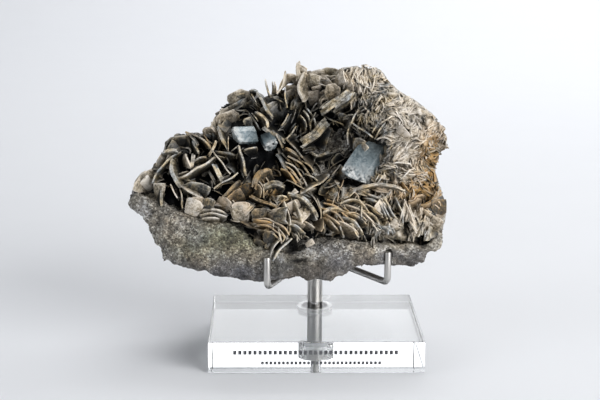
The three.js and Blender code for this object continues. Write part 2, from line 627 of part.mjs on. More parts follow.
let crust = crustBase();
for (const row of BLADES) {
  crust = crust.add(bladeSolid(row));
}
crust = crust.subtract(rockSpace);
for (const shape of Object.values(CRYSTALS)) {
  crust = crust.subtract(prismSolid(shape, GAP));
}
specimen.add(piece('muscovite_crust', outerSkin(clearOfStand(crust)), 'muscovite'));

for (const [name, shape] of Object.entries(CRYSTALS)) {
  specimen.add(piece(name, prismSolid(shape, 0).subtract(rockSpace), 'beryl'));
}

const stand = new THREE.Group();
stand.add(piece('acrylic_block', blockSolid(), 'acrylic'));
stand.add(piece('post', postGeometry(), 'steel'));
for (const side of sides) {
  stand.add(piece(`arm_${side}`, armSolid(side, 0).subtract(postSpace(0, POST.top * 2)), 'steel'));
}
stand.add(piece('base_screw', screwGeometry(), 'steel'));
stand.add(piece('base_washer', washerGeometry(), 'steel'));

const object = new THREE.Group();
object.add(stand, specimen);

export default object;
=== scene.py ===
"""Aquamarine crystals on muscovite and matrix rock, on an acrylic display stand.

The specimen is laid out on its display side, in millimetres: u runs across, v runs up and w
comes out towards a viewer who stands VIEW_DISTANCE away and looks slightly down.
"""

import math

import bmesh
import bpy
import numpy as np
from bpy.props import FloatProperty, FloatVectorProperty, IntProperty, PointerProperty
from bpy.types import Operator, Panel, PropertyGroup
from mathutils import Matrix, Vector


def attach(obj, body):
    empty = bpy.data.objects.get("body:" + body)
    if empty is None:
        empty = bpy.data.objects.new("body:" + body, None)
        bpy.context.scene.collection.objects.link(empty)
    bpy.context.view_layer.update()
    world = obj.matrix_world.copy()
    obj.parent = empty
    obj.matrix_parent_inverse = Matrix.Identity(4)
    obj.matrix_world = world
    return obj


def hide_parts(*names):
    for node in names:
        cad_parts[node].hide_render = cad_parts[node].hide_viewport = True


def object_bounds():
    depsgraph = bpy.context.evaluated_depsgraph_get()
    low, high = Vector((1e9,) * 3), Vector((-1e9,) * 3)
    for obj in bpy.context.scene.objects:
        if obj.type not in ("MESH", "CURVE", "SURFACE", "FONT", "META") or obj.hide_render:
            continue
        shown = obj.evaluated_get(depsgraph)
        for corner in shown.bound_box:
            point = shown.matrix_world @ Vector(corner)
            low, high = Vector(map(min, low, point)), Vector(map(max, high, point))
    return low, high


bl_info = {
    "name": "Aquamarine specimen",
    "version": (1, 0, 0),
    "blender": (4, 5, 0),
    "location": "3D View > Sidebar > Specimen",
    "description": "Builds an aquamarine and muscovite specimen on its display stand",
    "category": "Object",
}

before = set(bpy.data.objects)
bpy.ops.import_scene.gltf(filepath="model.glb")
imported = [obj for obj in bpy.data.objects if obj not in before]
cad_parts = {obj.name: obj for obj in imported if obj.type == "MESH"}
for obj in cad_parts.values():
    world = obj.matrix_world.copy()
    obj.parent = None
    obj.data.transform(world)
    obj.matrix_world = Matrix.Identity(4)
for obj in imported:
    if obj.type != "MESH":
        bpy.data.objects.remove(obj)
CAD_BOX = [list(corner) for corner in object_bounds()]

# ---- sizes shared with the solids, in millimetres ----

MM = 0.001
VIEW_DISTANCE = 845.6
VIEW_POINT = np.array([-28.9, -828.4, 285.9])
VIEW_YAW, VIEW_PITCH, VIEW_ROLL = (math.radians(angle) for angle in (1.358, 13.104, 0.382))
LENS = 84.56

BLOCK_SIZE = (127, 95, 19)
BLOCK_BEVEL = 0.6
COUNTERBORE = {"radius": 11, "depth": 8.7}
POST = {"x": 1.4, "y": 33.5, "radius": 4.75, "top": 55, "chamfer": 0.8}
SCREW = {"shank": 3, "head": 5, "head_height": 3.2, "socket": 2, "socket_depth": 2, "reach": 9}
WASHER = {"radius": 8.5, "hole": 3.4, "thickness": 1.6}
# Broken edges of the turned pieces.
POST_EDGE, SCREW_EDGE, WASHER_EDGE = 0.3, 0.4, 0.2
# Space round the screw in its holes, and between the post and the rock.
GAP = 0.3
# "clear" is what rock and mica keep from an arm, "inset" how far an arm runs into the post.
ARM = {"radius": 2, "height": 50, "elbow": 4, "clear": 0.6, "inset": 0.3}
ARM_ENDS = {"left": (-29, -39, 68), "right": (42, -30, 69), "back": (-8, 43.2, 96)}

# Printed dashes on the block's front: start across, height, how many, step, length, how tall.
MARK_ROWS = [(-48.8, 12.6, 33, 2.95, 1.9, 2.5), (-32.5, 6.2, 29, 2.45, 1.6, 1.9)]
MARK_BACK, MARK_FRONT = -47.44, -47.47
# How far the paper lies below the block.
SWEEP_GAP = 0.1
POST_SIDES, SCREW_SIDES, ARM_SIDES = 96, 64, 32

CENTRE_U, CENTRE_V = -3, 12
RELIEF_BASE, RELIEF_CROWN, RELIEF_LEAN = 26, -25, 0.0034
RELIEF_SIDE, RELIEF_SPAN = 14, 100
CRUST_DEPTH, CRUST_BASE, CRUST_SEAT = 10, 3, 2.5
BANK_U, BANK_V, BANK_SPREAD_U, BANK_SPREAD_V, BANK_RISE = 68, 42, 20, 36, 4.5
ROOT_DEPTH = 8
FACE_WIDTH = 11
# A blade turned this far, in degrees, is a plate that faces the viewer.
UPRIGHT = 50
# The small blades between, the fine flakes and the bank's flakes are turned no further than this.
FILLER_LEAN, FLAKE_LEAN, BANK_LEAN = 46, 47, 48
# Least way of a blade's points from the outline.
EDGE_KEEP = 0.8
OUTLINE_STEPS = 12
# Where blades and flakes may grow: u from and to, v from and to.
FILLER_FIELD, BANK_FIELD, FOOT_FIELD = (-100, 88, -28, 80), (26, 89, -30, 82), (-110, 95, -40, 90)
ROCK_SEED, MICA_SEED = 51, 7
PAPER_SHADE = 0.985

# Hills and hollows of the display side: u, v, spread across, spread up, height.
HILLS = [
    (12, 36, 27, 22, -25),
    (64, 42, 22, 28, 12),
    (-45, 54, 16, 14, -5),
    (60, -40, 14, 12, -7),
    (-88, 8, 14, 16, 2),
]

# Outline of the specimen on its display side: u, v.
OUTLINE = [
    (88, 3), (83, 13), (81, 19), (85, 27), (90, 34), (88, 43), (80, 52), (70, 60), (61, 65),
    (54, 71), (49, 79), (40, 82), (27, 80), (12, 79), (4, 77), (-4, 74), (-12, 67), (-20, 62),
    (-26, 65), (-33, 66), (-43, 63), (-50, 58), (-53, 49), (-56, 42), (-66, 41), (-76, 41),
    (-83, 35), (-85, 26), (-92, 18), (-100, 13), (-104, 2), (-102, -5), (-96, -8), (-92, -16),
    (-88, -24), (-82, -35), (-72, -39), (-57, -43), (-39, -48), (-24, -50), (-12, -48),
    (-6, -47), (6, -49), (18, -49), (24, -46), (33, -42), (48, -39), (63, -41), (73, -37),
    (79, -31), (85, -30), (86, -20), (88, -7),
]

# Lower edge of the crust of blades, from the left end to the right end.
RIM = [
    (-101, 3), (-88, 3), (-80, -3), (-68, -7), (-56, -11), (-44, -12), (-36, -16), (-26, -26),
    (-14, -28), (0, -26), (14, -22), (30, -24), (44, -25), (60, -25), (74, -24), (87, -20),
]

# Blades that give the crust its look: u, v of one end of the bright edge, u, v of the other
# end, how far the edge bows up, the angle that its face is turned to the viewer (positive
# shows it below the edge), how far it stands proud, and its thickness.
BLADES = [
    # left wing
    (-100, 6, -90, 18, 3, 65, 0, 3), (-89, 10, -72, 29, 2.4, 20, 2, 1.8),
    (-81, 32, -65, 31, 7, 60, -1, 2), (-83, 29, -73, 29, 1, 30, 2, 2.4),
    (-68, 40, -61, 32, 1, -10, 2, 2), (-64, 36, -61, 28, 0, 15, 2, 2.6),
    (-68, 41, -53, 30, 2, 15, 3, 1.8), (-58, 40, -50, 41, 3, 50, 0, 2),
    (-50, 44, -44, 31, 0, -15, 3, 2), (-50, 35, -55, 26, 0, 0, 3, 2),
    (-52, 30, -37, 27, 0, 45, -1, 1.5), (-52, 29, -41, 15, 0, 0, 3, 1.5),
    (-72, 13, -50, 26, 0, 20, 4, 2.4), (-52, 22, -46, 11, 0, 10, 3, 2.4),
    (-77, 24, -71, 7, -2.5, -25, 3, 2.4), (-68, 28, -66, 19, 0, 20, 1, 2.2),
    (-63, 23, -56, 26, 1.5, 40, 1, 1.6), (-52, 7, -37, 16, 0, 0, 4, 1.8),
    (-47, 2, -36, 12, 0, 35, 3, 2.8), (-70, 9, -53, 7, 3, 55, 2, 2),
    (-71, 8, -60, 1, 0, -20, 3, 1.8), (-68, -2, -56, -1, 3.5, 68, 2, 2.5),
    (-41, -5, -30, -4, 2, 68, 2, 2.5), (-46, -2, -36, 7, 1.5, 60, 1, 2),
    (-39, 5, -29, 10, 1.5, 60, 0, 2), (-83, 9, -83, -4, 0, 15, 1, 2.2),
    (-78, 9, -73, 1, 0, 0, 1, 1.5),
    # upper left
    (-44, 59, -31, 65, 4, 68, -3, 3), (-51, 47, -37, 52, 4, 70, -1, 3),
    (-30, 66, -25, 65, 0.8, 30, 0, 2), (-26, 65, -17, 49, 0, -10, 4, 2),
    (-27, 53, -19, 44, 2, 35, 2, 2), (-21, 73, -17, 62, -1, 5, 2, 1.5),
    (-9, 77, -14, 63, 1, 0, 1, 2), (-9, 67, -8, 55, 0, 0, 3, 1.5), (-8, 76, -2, 74, 1, 40, 0, 2),
    (-1, 83, -2, 72, 0, -45, 0, 2.6), (-1, 81, 4, 78, 0, 45, -1, 2),
    # top and the hollow
    (2, 77, 2, 59, -3, -38, 4, 2.6), (5, 75, 12, 74, 1.5, 60, 2, 3), (15, 66, 24, 67, 3.5, 62, 3, 3),
    (12, 52, 31, 66, 0, 10, 5, 4.2), (19, 54, 33, 64, 0, 20, 5, 2), (0, 33, 16, 48, -1.2, 12, 5, 5),
    (14, 51, 27, 44, 0, 0, 0, 1.5), (-8, 37, -2, 44, 0, 0, 6, 1.8), (-8, 37, 2, 25, 0, 0, 6, 2),
    (-23, 44, -9, 35, 0, -20, 3, 2), (-17, 41, -10, 31, 1, 0, 4, 1.8),
    (-10, 31, 0, 24, 2, 45, 4, 2.2), (-14, 27, -8, 17, 0, -30, 2, 2),
    (0, 24, 9, 15, 1.5, 0, 3, 1.6), (6, 29, 18, 29, -2, 40, 0, 2),
    (-36, 32, -32, 14, 0, 10, 5, 2.6), (19, 22, 24, 28, 1.5, 50, 2, 2),
    (-28, 8, -18, 19, 3, 46, 3.5, 4.4), (-23, 7, -9, 9, 2, 42, 3, 4.2), (-30, 2, -13, -4, 0, 15, 4, 2.2),
    (-6, 17, 2, 10, 0, 0, 2, 1.5), (1, 5, 19, 15, -1, -25, 4, 1.8), (11, 3, 18, 13, 1, 45, 2, 2),
    # fans along the lower rim
    (-7, -4, -7, -14, -1.5, 50, 6, 1.5), (-4, 0, 1, -13, 1, 40, 6, 1.5),
    (-7, 4, 10, -11, 4, 40, 4, 2), (-19, -8, -8, -7, 1.5, 62, 1, 2),
    (-29, -7, -19, -7, 2, 60, 1, 2), (-28, -11, -15, -14, 0, 35, 2, 1.8),
    (-22, -20, -15, -20, 1.5, 62, 2, 2), (-13, -16, -11, -26, 0, 0, 2, 1.8),
    (13, -7, 27, -7, 2.5, 45, 3, 2), (33, 6, 62, 6, 3.6, 20, 5, 2), (48, 2, 56, -15, 0, 25, 2, 1.8),
    (50, 2, 59, -13, 0, 40, 3, 1.8), (43, -4, 49, -10, 0, 40, 4, 1.6),
    (24, -2, 41, -7, 5, 45, 5, 1.5), (26, -9, 40, -13, 3.5, 45, 3, 1.3),
    (27, -15, 37, -20, 2.5, 40, 2, 1.2),
    (40, 1, 52, -11, 3, 40, 3, 1.4), (56, 3, 62, -13, 1.5, 30, 3, 1.3), (79, -10, 86, -13, 1, 60, 0, 1.2),
    (-5, -24, -17, -37, -1, 20, 1.5, 2.2), (-9, -22, -18, -34, -1.5, 30, 0.5, 1.6),
    (-10, 0, -5, -15, 0.6, 25, 5, 1.3),
    (66, -2, 68, -12, 0, 0, 2, 1.5), (78, -2, 87, 0, 1.5, 60, 1, 2),
    (31, -13, 35, -23, 0, 10, 2, 1.8), (24, -13, 26, -23, 0, 10, 2, 1.8),
    # right bank
    (31, 47, 44, 37, 0, 0, 3, 1.8), (35, 54, 29, 33, -2.5, -15, 3, 1.6),
    (45, 37, 51, 47, 0, 0, 3, 1.6), (48, 45, 55, 51, 0, 0, 4, 1.6), (36, 71, 38, 63, 0, 0, 2, 1.6),
    (45, 74, 43, 65, 0, 0, 2, 1.6), (49, 60, 61, 60, 4, 60, 3, 2.5), (55, 24, 60, 32, 0, 30, 3, 2),
    (55, 21, 66, 22, 1, 0, 3, 1.6),
    # finer blades among them
    (-86, 14, -77, 24, 1.5, 0, 0, 1.5), (-58, 39, -53, 32, 0, 10, 1, 1.5),
    (-64, 28, -65, 19, 0, 0, 0, 2), (-57, 1, -51, -1, 1.5, 60, 3, 2),
    (-72, 7, -70, -5, 0, 0, 0, 1.5), (-88, 10, -81, 10, 0, 60, 1, 1.6),
    (-73, 16, -67, 17, 0, 30, -1, 1.2), (-34, 47, -29, 49, 1.5, 60, 0, 2),
    (-17, 62, -9, 58, 0, 0, 0, 1.4), (-17, 71, -14, 65, 0, 45, -1, 1.6),
    (-7, 52, -11, 44, 0, 0, 3, 1.5), (-29, 64, -26, 57, 0, 0, 2, 1.3),
    (-29, 52, -25, 47, 0, 0, 1, 1.2), (-43, 38, -43, 29, 0, 0, 3, 1), (4, 65, 11, 66, 0, 60, -4, 2),
    (9, 53, 6, 45, 0, 0, 3, 1.5), (23, 49, 28, 51, 2, 60, -3, 2), (-11, 28, -6, 23, 0, 0, 3, 1.5),
    (-34, 29, -26, 32, 1, 30, 1, 1.6), (19, 43, 15, 30, 0, 50, -2, 1.6),
    (-8, 12, 3, 6, 0.6, 0, 2, 1.5), (3, 16, 10, 11, 1, 0, 4, 1.6), (12, 55, 17, 60, 0, 0, 2, 1.2),
    (-41, 29, -37, 33, 0, 0, 2, 1), (-14, -1, -8, 2, 2.5, 46, 3, 1.8), (5, 4, 12, -8, 2, 0, 3, 1.5),
    (10, 1, 12, -11, 1.4, 0, 3, 1.2), (-26, -14, -14, -19, 1, 30, 2, 1.8),
    (26, 12, 22, -1, 0, 0, 3, 1), (63, -13, 65, -3, 0, 30, 2, 1.6),
    (66, -13, 70, -20, 0, 0, 4, 1.5), (35, 2, 40, -6, 0, 30, 3, 1.6),
    (31, -9, 37, -12, 1, 20, 3, 1.6), (43, 40, 49, 49, 0, 0, 2, 1.6),
    (46, 36, 55, 35, 2, 0, 3, 1.6), (33, 71, 37, 64, 0, 0, 2, 1.6), (40, 73, 39, 64, 0, 0, 2, 1.6),
    (46, 57, 49, 63, 0, 0, 2, 1.8), (56, 17, 61, 13, 0, 0, 3, 1.6), (60, 13, 67, 18, 0, 0, 3, 1.6),
    (70, 14, 75, 12, 0, 0, 2, 1.5), (56, 23, 62, 31, 1, 30, 3, 2),
    (-15.5, 71, -13.5, 64, 0.3, 10, 0, 1.2), (-12, 66, -9.4, 74.5, 0.5, -12, 0, 1.6),
    (-1.6, 82, 4.6, 78.4, 0.6, 30, 0, 1.6),
]

# Places where the mica is paler or stained by iron: u, v, spread across, spread up, amount.
PALE_PLACES = [
    (68, 40, 20, 30, 0.58), (12, 68, 26, 11, 0.34), (-44, 58, 10, 9, 0.28), (-52, 47, 8, 6, 0.25),
    (-75, 22, 22, 14, 0.12), (-50, -3, 22, 7, 0.2), (80, 22, 7, 13, -0.3), (42, 74, 26, 9, 0.2),
    (-96, 10, 12, 12, 0.35),
    (60, 51, 7, 7, 0.36), (67, 36, 6, 12, 0.36), (60, 23, 8, 5, 0.25), (52, 62, 5, 5, -0.2),
    (56, 40, 4, 5, -0.25),
    (-60, 4, 18, 12, 0.1), (74, -10, 18, 16, 0.2), (0, 45, 30, 16, -0.22), (-4, 8, 30, 18, -0.1),
    (10, 32, 20, 16, -0.25), (-50, 20, 26, 16, -0.06), (-6, -13, 16, 10, 0.15),
]
STAIN_PLACES = [
    (-14, 10, 16, 12, 0.9), (-22, -14, 10, 5, 0.9), (20, -11, 9, 6, 0.8), (70, 5, 12, 5, 0.9),
    (79, 22, 9, 14, 0.8),
    (-2, 28, 12, 14, 0.5), (-34, 3, 16, 8, 0.85), (82, 10, 8, 18, 0.9),
    (80, 34, 9, 14, 0.5), (-56, 32, 7, 5, 0.55), (-44, 36, 8, 6, 0.4), (38, -4, 30, 12, 0.2),
    (20, 8, 12, 14, 0.6), (72, 2, 12, 6, 0.4), (-60, 36, 10, 6, 0.3), (50, 8, 14, 7, 0.5),
    (-20, -16, 14, 8, 0.35),
]

# Where the rock is fresh and pale: u, v, spread across, spread up, share.
FRESH_PLACES = [
    (-97, -2, 9, 9, 0.9), (-60, -16, 16, 6, 0.35), (52, -28, 15, 4, 1), (84, -22, 6, 9, 0.8),
    (-52, -30, 12, 5, 0.5), (16, -32, 10, 4, 0.6),
]

# Where the foot of the blades is pale and granular: u, v, spread across, spread up, share.
GRANULAR_PLACES = [(58, -21, 18, 6, 1), (84, -16, 5, 10, 0.9), (20, -24, 8, 3, 0.7)]

# Cavities of the display side, where nothing grows, with painted shade that makes them dark: u, v, spread
# across, spread up, share.
CAVITIES = [
    (-4, -23, 6, 7, 1), (74, -22, 3.2, 5, 1), (53, -13, 2.5, 6, 0.8), (61, -5, 2, 5, 0.8),
    (-37, -17, 6, 4, 0.7),
    (14, 34, 11, 13, 0.6), (-30, 24, 9, 6, 0.5), (-46, 14, 6, 5, 0.5), (-60, 16, 7, 4, 0.5),
    (-24, 52, 5, 5, 0.5),
    (58, 30, 5, 7, 0.5), (-72, 20, 4, 4, 0.5), (6, 66, 8, 4, 0.4), (52, 14, 10, 3, 0.4),
]

# Plates that face the viewer, made pale as painted glints: the same eight numbers as a blade, then their
# paleness.
PAINTED_GLINT_PLATES = [
    (-98, 7, -90, 17, 0.6, 58, 0, 1, 0.5), (44, -5, 49, 2, 0.3, 60, 3, 0.8, 0.7),
    (-9, -3, -1, 1, 0.4, 56, 3, 0.8, 0.45), (-4, -8, 1, -14, 0.3, -58, 3, 0.8, 0.5),
    (66, -13, 70, -19, 0.2, -20, 3, 0.8, 0.8), (57, -11, 60, -15, 0, 55, 3, 0.7, 0.7),
    (7, -23, 9, -26, 0, 52, 2, 0.8, 0.7), (-3, 7, -1, 5, 0, 55, 4, 0.7, 0.8),
    (61, 45, 67, 38, 0.3, 52, 1.5, 0.9, 0.35), (-68, 1, -58, -3, 1.4, 62, 3.5, 1.2, 0.12),
    (-41, -3, -30, -2, 1.4, 64, 3.5, 1.2, 0.35), (-17, -6, -7, -5, 1, 58, 3, 1.2, 0.2),
    (63, 0, 59, -13, 0.5, -40, 3, 1, 0.35), (63, 0, 68, -14, 0.5, 40, 3, 1, 0.25),
    (78, 0, 87, -2, 1.5, 62, 1, 1.2, 0.3), (36.9, 34.6, 41.2, 31.2, 0.8, 56, 6, 1, 0.35),
    (33.5, 37.5, 39.5, 34.6, 0.8, 54, 3, 1.2, 0.4), (44, 11, 51, 15.5, 1, 54, 0, 1.2, 0.2),
    (47, 18, 53, 17, 0.8, 56, -1, 1, 0.15), (24, 21, 29, 14, 0.8, 56, 0, 1, 0.25),
]

# Nested arched plates: centre u, v, first radius, step, how many, from and to which angle in
# degrees, and as for a blade the angle of the faces, how far they stand proud and the thickness.
ARCHES = [
    (-14, 6, 12, 3.4, 4, 78, 8, 18, 2.5, 1.3), (11, -24, 13, 3.2, 5, 84, 22, 36, 3, 1.2),
    (24, -25, 12, 3.5, 4, 92, 28, 42, 3.5, 1.3), (-23, -31, 13, 2.4, 4, 104, 36, 30, 2, 1.1),
    (-30, 4, 7, 2.2, 4, 70, -10, 30, 2, 1),
    (37, -16, 10, 3.4, 4, 84, 18, 38, 3, 1.3), (-8, -30, 15, 3, 3, 82, 40, 30, 1.5, 1.1),
    (-54, -24, 14, 2.8, 3, 120, 62, 35, 1, 1.2), (50, -32, 16, 3, 3, 104, 62, 36, 1.5, 1.1),
    (72, -6, 7, 2.5, 3, 150, 80, 35, 1, 1.1), (-4, 44, 8, 2.6, 3, 60, -20, 20, 0, 1.2),
]

# Bunches of fine flakes: u, v, spread across, spread up, how many, way they point (degrees),
# how widely, shortest and longest flake, how proud, thickness.
BUNCHES = [
    (39, 70, 6, 3, 9, 95, 34, 6, 10, 2.5, 0.9), (62, 8, 10, 6, 26, 230, 60, 4, 9, 0, 0.8),
    (40, -12, 24, 4, 14, 268, 26, 3, 7, -1.5, 0.9), (-8, -20, 16, 4, 10, 262, 30, 3, 6, -2, 0.9),
    (57, -14, 14, 5, 12, 276, 30, 4, 8, -1, 0.9), (-4, 2, 26, 8, 22, 300, 60, 4, 9, -1, 0.8),
    (76, -2, 5, 8, 14, 262, 40, 4, 8, -0.5, 0.8), (30, 4, 10, 8, 20, 250, 50, 5, 9, 0, 0.9),
]

# Aquamarine prisms: u, v, w of the buried and of the free end, the corners of the cross
# section (across, towards the viewer), how far along each corner's edge stops short of the
# buried end, and the same for the free end.
CRYSTALS = {
    "aquamarine_large": ((45.4, 32.4, 5), (31.9, 12.4, 14.5),
                         [(-9.4, 2.6), (-5, 4.6), (4.2, 5.8), (10.6, 2.4), (9, -5.4), (-5.4, -6.6),
                          (-9.2, -1.4)],
                         (7.5, 1.8, -0.4, 4, 3, 2, 5), (-0.2, -2.2, -0.8, 2.4, 3, 1, 0.6)),
    "aquamarine_small": ((-24.6, 39.2, 6), (-40.6, 38.6, 10.5),
                         [(-2.2, 5.6), (4.4, 3.8), (5.6, -1.4), (1.6, -5.6), (-4.4, -4.6), (-5.6, 1.6)],
                         (3, 1.5, 2.5, 2, 3, 3.5), (0, 3, 4, 1.5, 0.6, 0.2)),
    "aquamarine_side": ((-20.2, 38.4, 3), (-17, 31.6, 8.5),
                        [(-3.4, 3.4), (2.6, 4), (4.9, -0.4), (2.2, -4.2), (-2.8, -4), (-4.9, -0.6)],
                        (0, 0, 0, 0, 0, 0), (0.4, 0, 0.8, 1, 0.8, 0.6)),
}

DULLNESS = {"aquamarine_large": 0.75, "aquamarine_small": 0.1, "aquamarine_side": 1.0}


# ---- places on the display side ----

def view_axes():
    ahead = np.array([math.sin(VIEW_YAW) * math.cos(VIEW_PITCH),
                      math.cos(VIEW_YAW) * math.cos(VIEW_PITCH), -math.sin(VIEW_PITCH)])
    level = np.array([math.cos(VIEW_YAW), -math.sin(VIEW_YAW), 0])
    above = np.cross(level, ahead)
    right = level * math.cos(VIEW_ROLL) + above * math.sin(VIEW_ROLL)
    up = above * math.cos(VIEW_ROLL) - level * math.sin(VIEW_ROLL)
    return ahead, right, up


AHEAD, RIGHT, UP = view_axes()


def sight(u, v, w):
    """Places on the display side as X, Y, Z: however far out, each keeps its line of sight."""
    u, v, w = (np.asarray(value, float)[..., None] for value in (u, v, w))
    ray = AHEAD * VIEW_DISTANCE + RIGHT * u + UP * v
    return VIEW_POINT + ray * (1 - w / VIEW_DISTANCE)


def display(points):
    """The u, v, w of X, Y, Z places."""
    ray = points - VIEW_POINT
    scale = ray @ AHEAD / VIEW_DISTANCE
    return ray @ RIGHT / scale, ray @ UP / scale, VIEW_DISTANCE * (1 - scale)


def bumps(places, u, v):
    """Sum of smooth bumps at places (u, v, spread across, spread up, height)."""
    total = 0
    for bump_u, bump_v, spread_u, spread_v, height in places:
        total = total + height * np.exp(-((u - bump_u) / spread_u) ** 2 - ((v - bump_v) / spread_v) ** 2)
    return total


def relief(u, v):
    """How far the tips of the blades stand out at a place."""
    lean = RELIEF_LEAN * (v - RELIEF_CROWN) ** 2
    side = RELIEF_SIDE * (u / RELIEF_SPAN) ** 2
    return RELIEF_BASE - lean - side + bumps(HILLS, u, v)


def base_height(u, v):
    """Height of the blades' grown-together foot above the rock."""
    bank = [(BANK_U, BANK_V, BANK_SPREAD_U, BANK_SPREAD_V, BANK_RISE)]
    return CRUST_BASE + bumps(bank, u, v)


def rim_at(u):
    return np.interp(u, [row[0] for row in RIM], [row[1] for row in RIM])


def outline_polar():
    """Angle and radius from the centre along the outline, densely."""
    corners = np.array(OUTLINE, float) - (CENTRE_U, CENTRE_V)
    steps = np.linspace(0, 1, OUTLINE_STEPS, endpoint=False)[:, None]
    line = np.concatenate([a + (b - a) * steps for a, b in zip(corners, np.roll(corners, -1, 0))])
    angle = np.arctan2(line[:, 1], line[:, 0])
    order = np.argsort(angle)
    return angle[order], np.hypot(line[:, 0], line[:, 1])[order]


OUTLINE_ANGLE, OUTLINE_RADIUS = outline_polar()


def edge_distance(u, v):
    """How far inside the outline a place lies, along its own spoke."""
    du, dv = u - CENTRE_U, v - CENTRE_V
    reach = np.interp(np.arctan2(dv, du), OUTLINE_ANGLE, OUTLINE_RADIUS, period=2 * math.pi)
    return reach - np.hypot(du, dv)


def held_inside(u, v, share):
    """Places moved along their spokes, a share of the way, so that they don't pass the outline."""
    over = np.clip(EDGE_KEEP - edge_distance(u, v), 0, None) * share
    du, dv = u - CENTRE_U, v - CENTRE_V
    scale = 1 - over / (np.hypot(du, dv) + 1e-6)
    return CENTRE_U + du * scale, CENTRE_V + dv * scale


def lattice_noise(points, size, seed):
    """Smooth noise from -1 to 1 with lumps of a given size."""
    place = np.asarray(points, float) / size
    cell = np.floor(place).astype(np.int64)
    part = place - cell
    part = part * part * (3 - 2 * part)
    total = np.zeros(place.shape[:-1])
    for corner in np.ndindex(2, 2, 2):
        at = cell + np.array(corner)
        code = at[..., 0] * 73856093 ^ at[..., 1] * 19349663 ^ at[..., 2] * 83492791 ^ seed * 374761393
        code = code & 0xFFFFFFFF
        code = (code ^ (code >> 13)) * 1274126177 & 0xFFFFFFFF
        code = code ^ (code >> 16)
        weight = np.prod(np.where(corner, part, 1 - part), axis=-1)
        total += weight * (code / 2**32)
    return 2 * total - 1


# ---- meshes from arrays ----

def clear_of_steel(points):
    """Points of rock and mica moved off the post and the arms, so that nothing runs into them."""
    points = points.copy()
    dx, dy = points[:, 0] - POST["x"], points[:, 1] - POST["y"]
    reach = np.hypot(dx, dy)
    aside, up = POST["radius"] + GAP - reach, POST["top"] + GAP - points[:, 2]
    struck = (aside > 0) & (up > 0)
    scale = np.where(struck & (aside < up), aside / (reach + 1e-6), 0)
    points[:, 0] += dx * scale
    points[:, 1] += dy * scale
    points[:, 2] += np.where(struck & (aside >= up), up, 0)
    for end in ARM_ENDS.values():
        line = arm_line(*end)
        for start, stop in zip(line, line[1:]):
            along = stop - start
            share = np.clip((points - start) @ along / (along @ along), 0, 1)
            off = points - start - share[:, None] * along
            reach = np.linalg.norm(off, axis=1)
            short = np.clip(ARM["radius"] + ARM["clear"] - reach, 0, None)
            points += off * (short / (reach + 1e-6))[:, None]
    return points


def meets_prong(points):
    """Whether a flake would run into the upright end of an arm."""
    for x, y, top in ARM_ENDS.values():
        near = np.hypot(points[:, 0] - x, points[:, 1] - y) < ARM["radius"] + ARM["clear"]
        if (near & (points[:, 2] < top + ARM["radius"])).any():
            return True
    return False


class Pile:
    """Points, faces and colour marks of one piece, gathered part by part."""

    def __init__(self):
        self.points, self.quads, self.triangles, self.marks = [], [], [], []
        self.count = 0

    def add(self, points, quads, triangles, marks):
        """marks holds four numbers for each point: rim, depth, tone and stain."""
        self.points.append(points.reshape(-1, 3))
        self.marks.append(marks.reshape(-1, 4))
        self.quads.append(quads + self.count)
        self.triangles.append(triangles + self.count)
        self.count += self.points[-1].shape[0]

    def piece(self, name, slot, material, replaced=(), sharp=40):
        points, marks = np.concatenate(self.points), np.concatenate(self.marks)
        if slot in ("rock", "muscovite"):
            points = clear_of_steel(points)
        points = np.clip(points, np.array(CAD_BOX[0]) / MM, np.array(CAD_BOX[1]) / MM)
        quads, triangles = np.concatenate(self.quads), np.concatenate(self.triangles)
        mesh = bpy.data.meshes.new(name)
        mesh.vertices.add(len(points))
        mesh.vertices.foreach_set("co", (points * MM).ravel())
        corners = np.concatenate([quads.ravel(), triangles.ravel()])
        mesh.loops.add(len(corners))
        mesh.loops.foreach_set("vertex_index", corners)
        starts = np.concatenate([np.arange(len(quads)) * 4, len(quads) * 4 + np.arange(len(triangles)) * 3])
        mesh.polygons.add(len(starts))
        mesh.polygons.foreach_set("loop_start", starts)
        mesh.update(calc_edges=True)
        mesh.validate()
        layer = mesh.attributes.new("growth", "FLOAT_COLOR", "POINT")
        layer.data.foreach_set("color", marks.ravel())
        return finished_piece(name, mesh, material, replaced, sharp)


NO_TRIANGLES = np.zeros((0, 3), int)
NO_QUADS = np.zeros((0, 4), int)
BOX_CORNERS = np.array(list(np.ndindex(2, 2, 2)), bool)
BOX_FACES = np.array([(0, 1, 3, 2), (4, 6, 7, 5), (0, 4, 5, 1), (2, 3, 7, 6), (0, 2, 6, 4), (1, 5, 7, 3)])


def finished_piece(name, mesh, material, replaced=(), sharp=40):
    """A shown object of the specimen, riding on the one body; edges over sharp degrees aren't smoothed."""
    mesh.shade_smooth()
    mesh.set_sharp_from_angle(angle=math.radians(sharp))
    mesh.materials.clear()
    mesh.materials.append(material)
    piece = bpy.data.objects.new(name, mesh)
    bpy.context.scene.collection.objects.link(piece)
    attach(piece, "root")
    if replaced:
        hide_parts(*replaced)
    return piece


GRID_FACES = {}


def grid_faces(rows, columns):
    """Faces of a closed sheet: a front and a back grid, joined round their border."""
    if (rows, columns) not in GRID_FACES:
        at = np.arange(rows * columns).reshape(rows, columns)
        front = np.stack([at[:-1, :-1], at[:-1, 1:], at[1:, 1:], at[1:, :-1]], -1).reshape(-1, 4)
        back = front[:, ::-1] + rows * columns
        ring = np.concatenate([at[0, :-1], at[:-1, -1], at[-1, :0:-1], at[:0:-1, 0]])
        after = np.roll(ring, -1)
        border = np.stack([after, ring, ring + rows * columns, after + rows * columns], -1)
        GRID_FACES[rows, columns] = np.concatenate([front, back, border])
    return GRID_FACES[rows, columns]


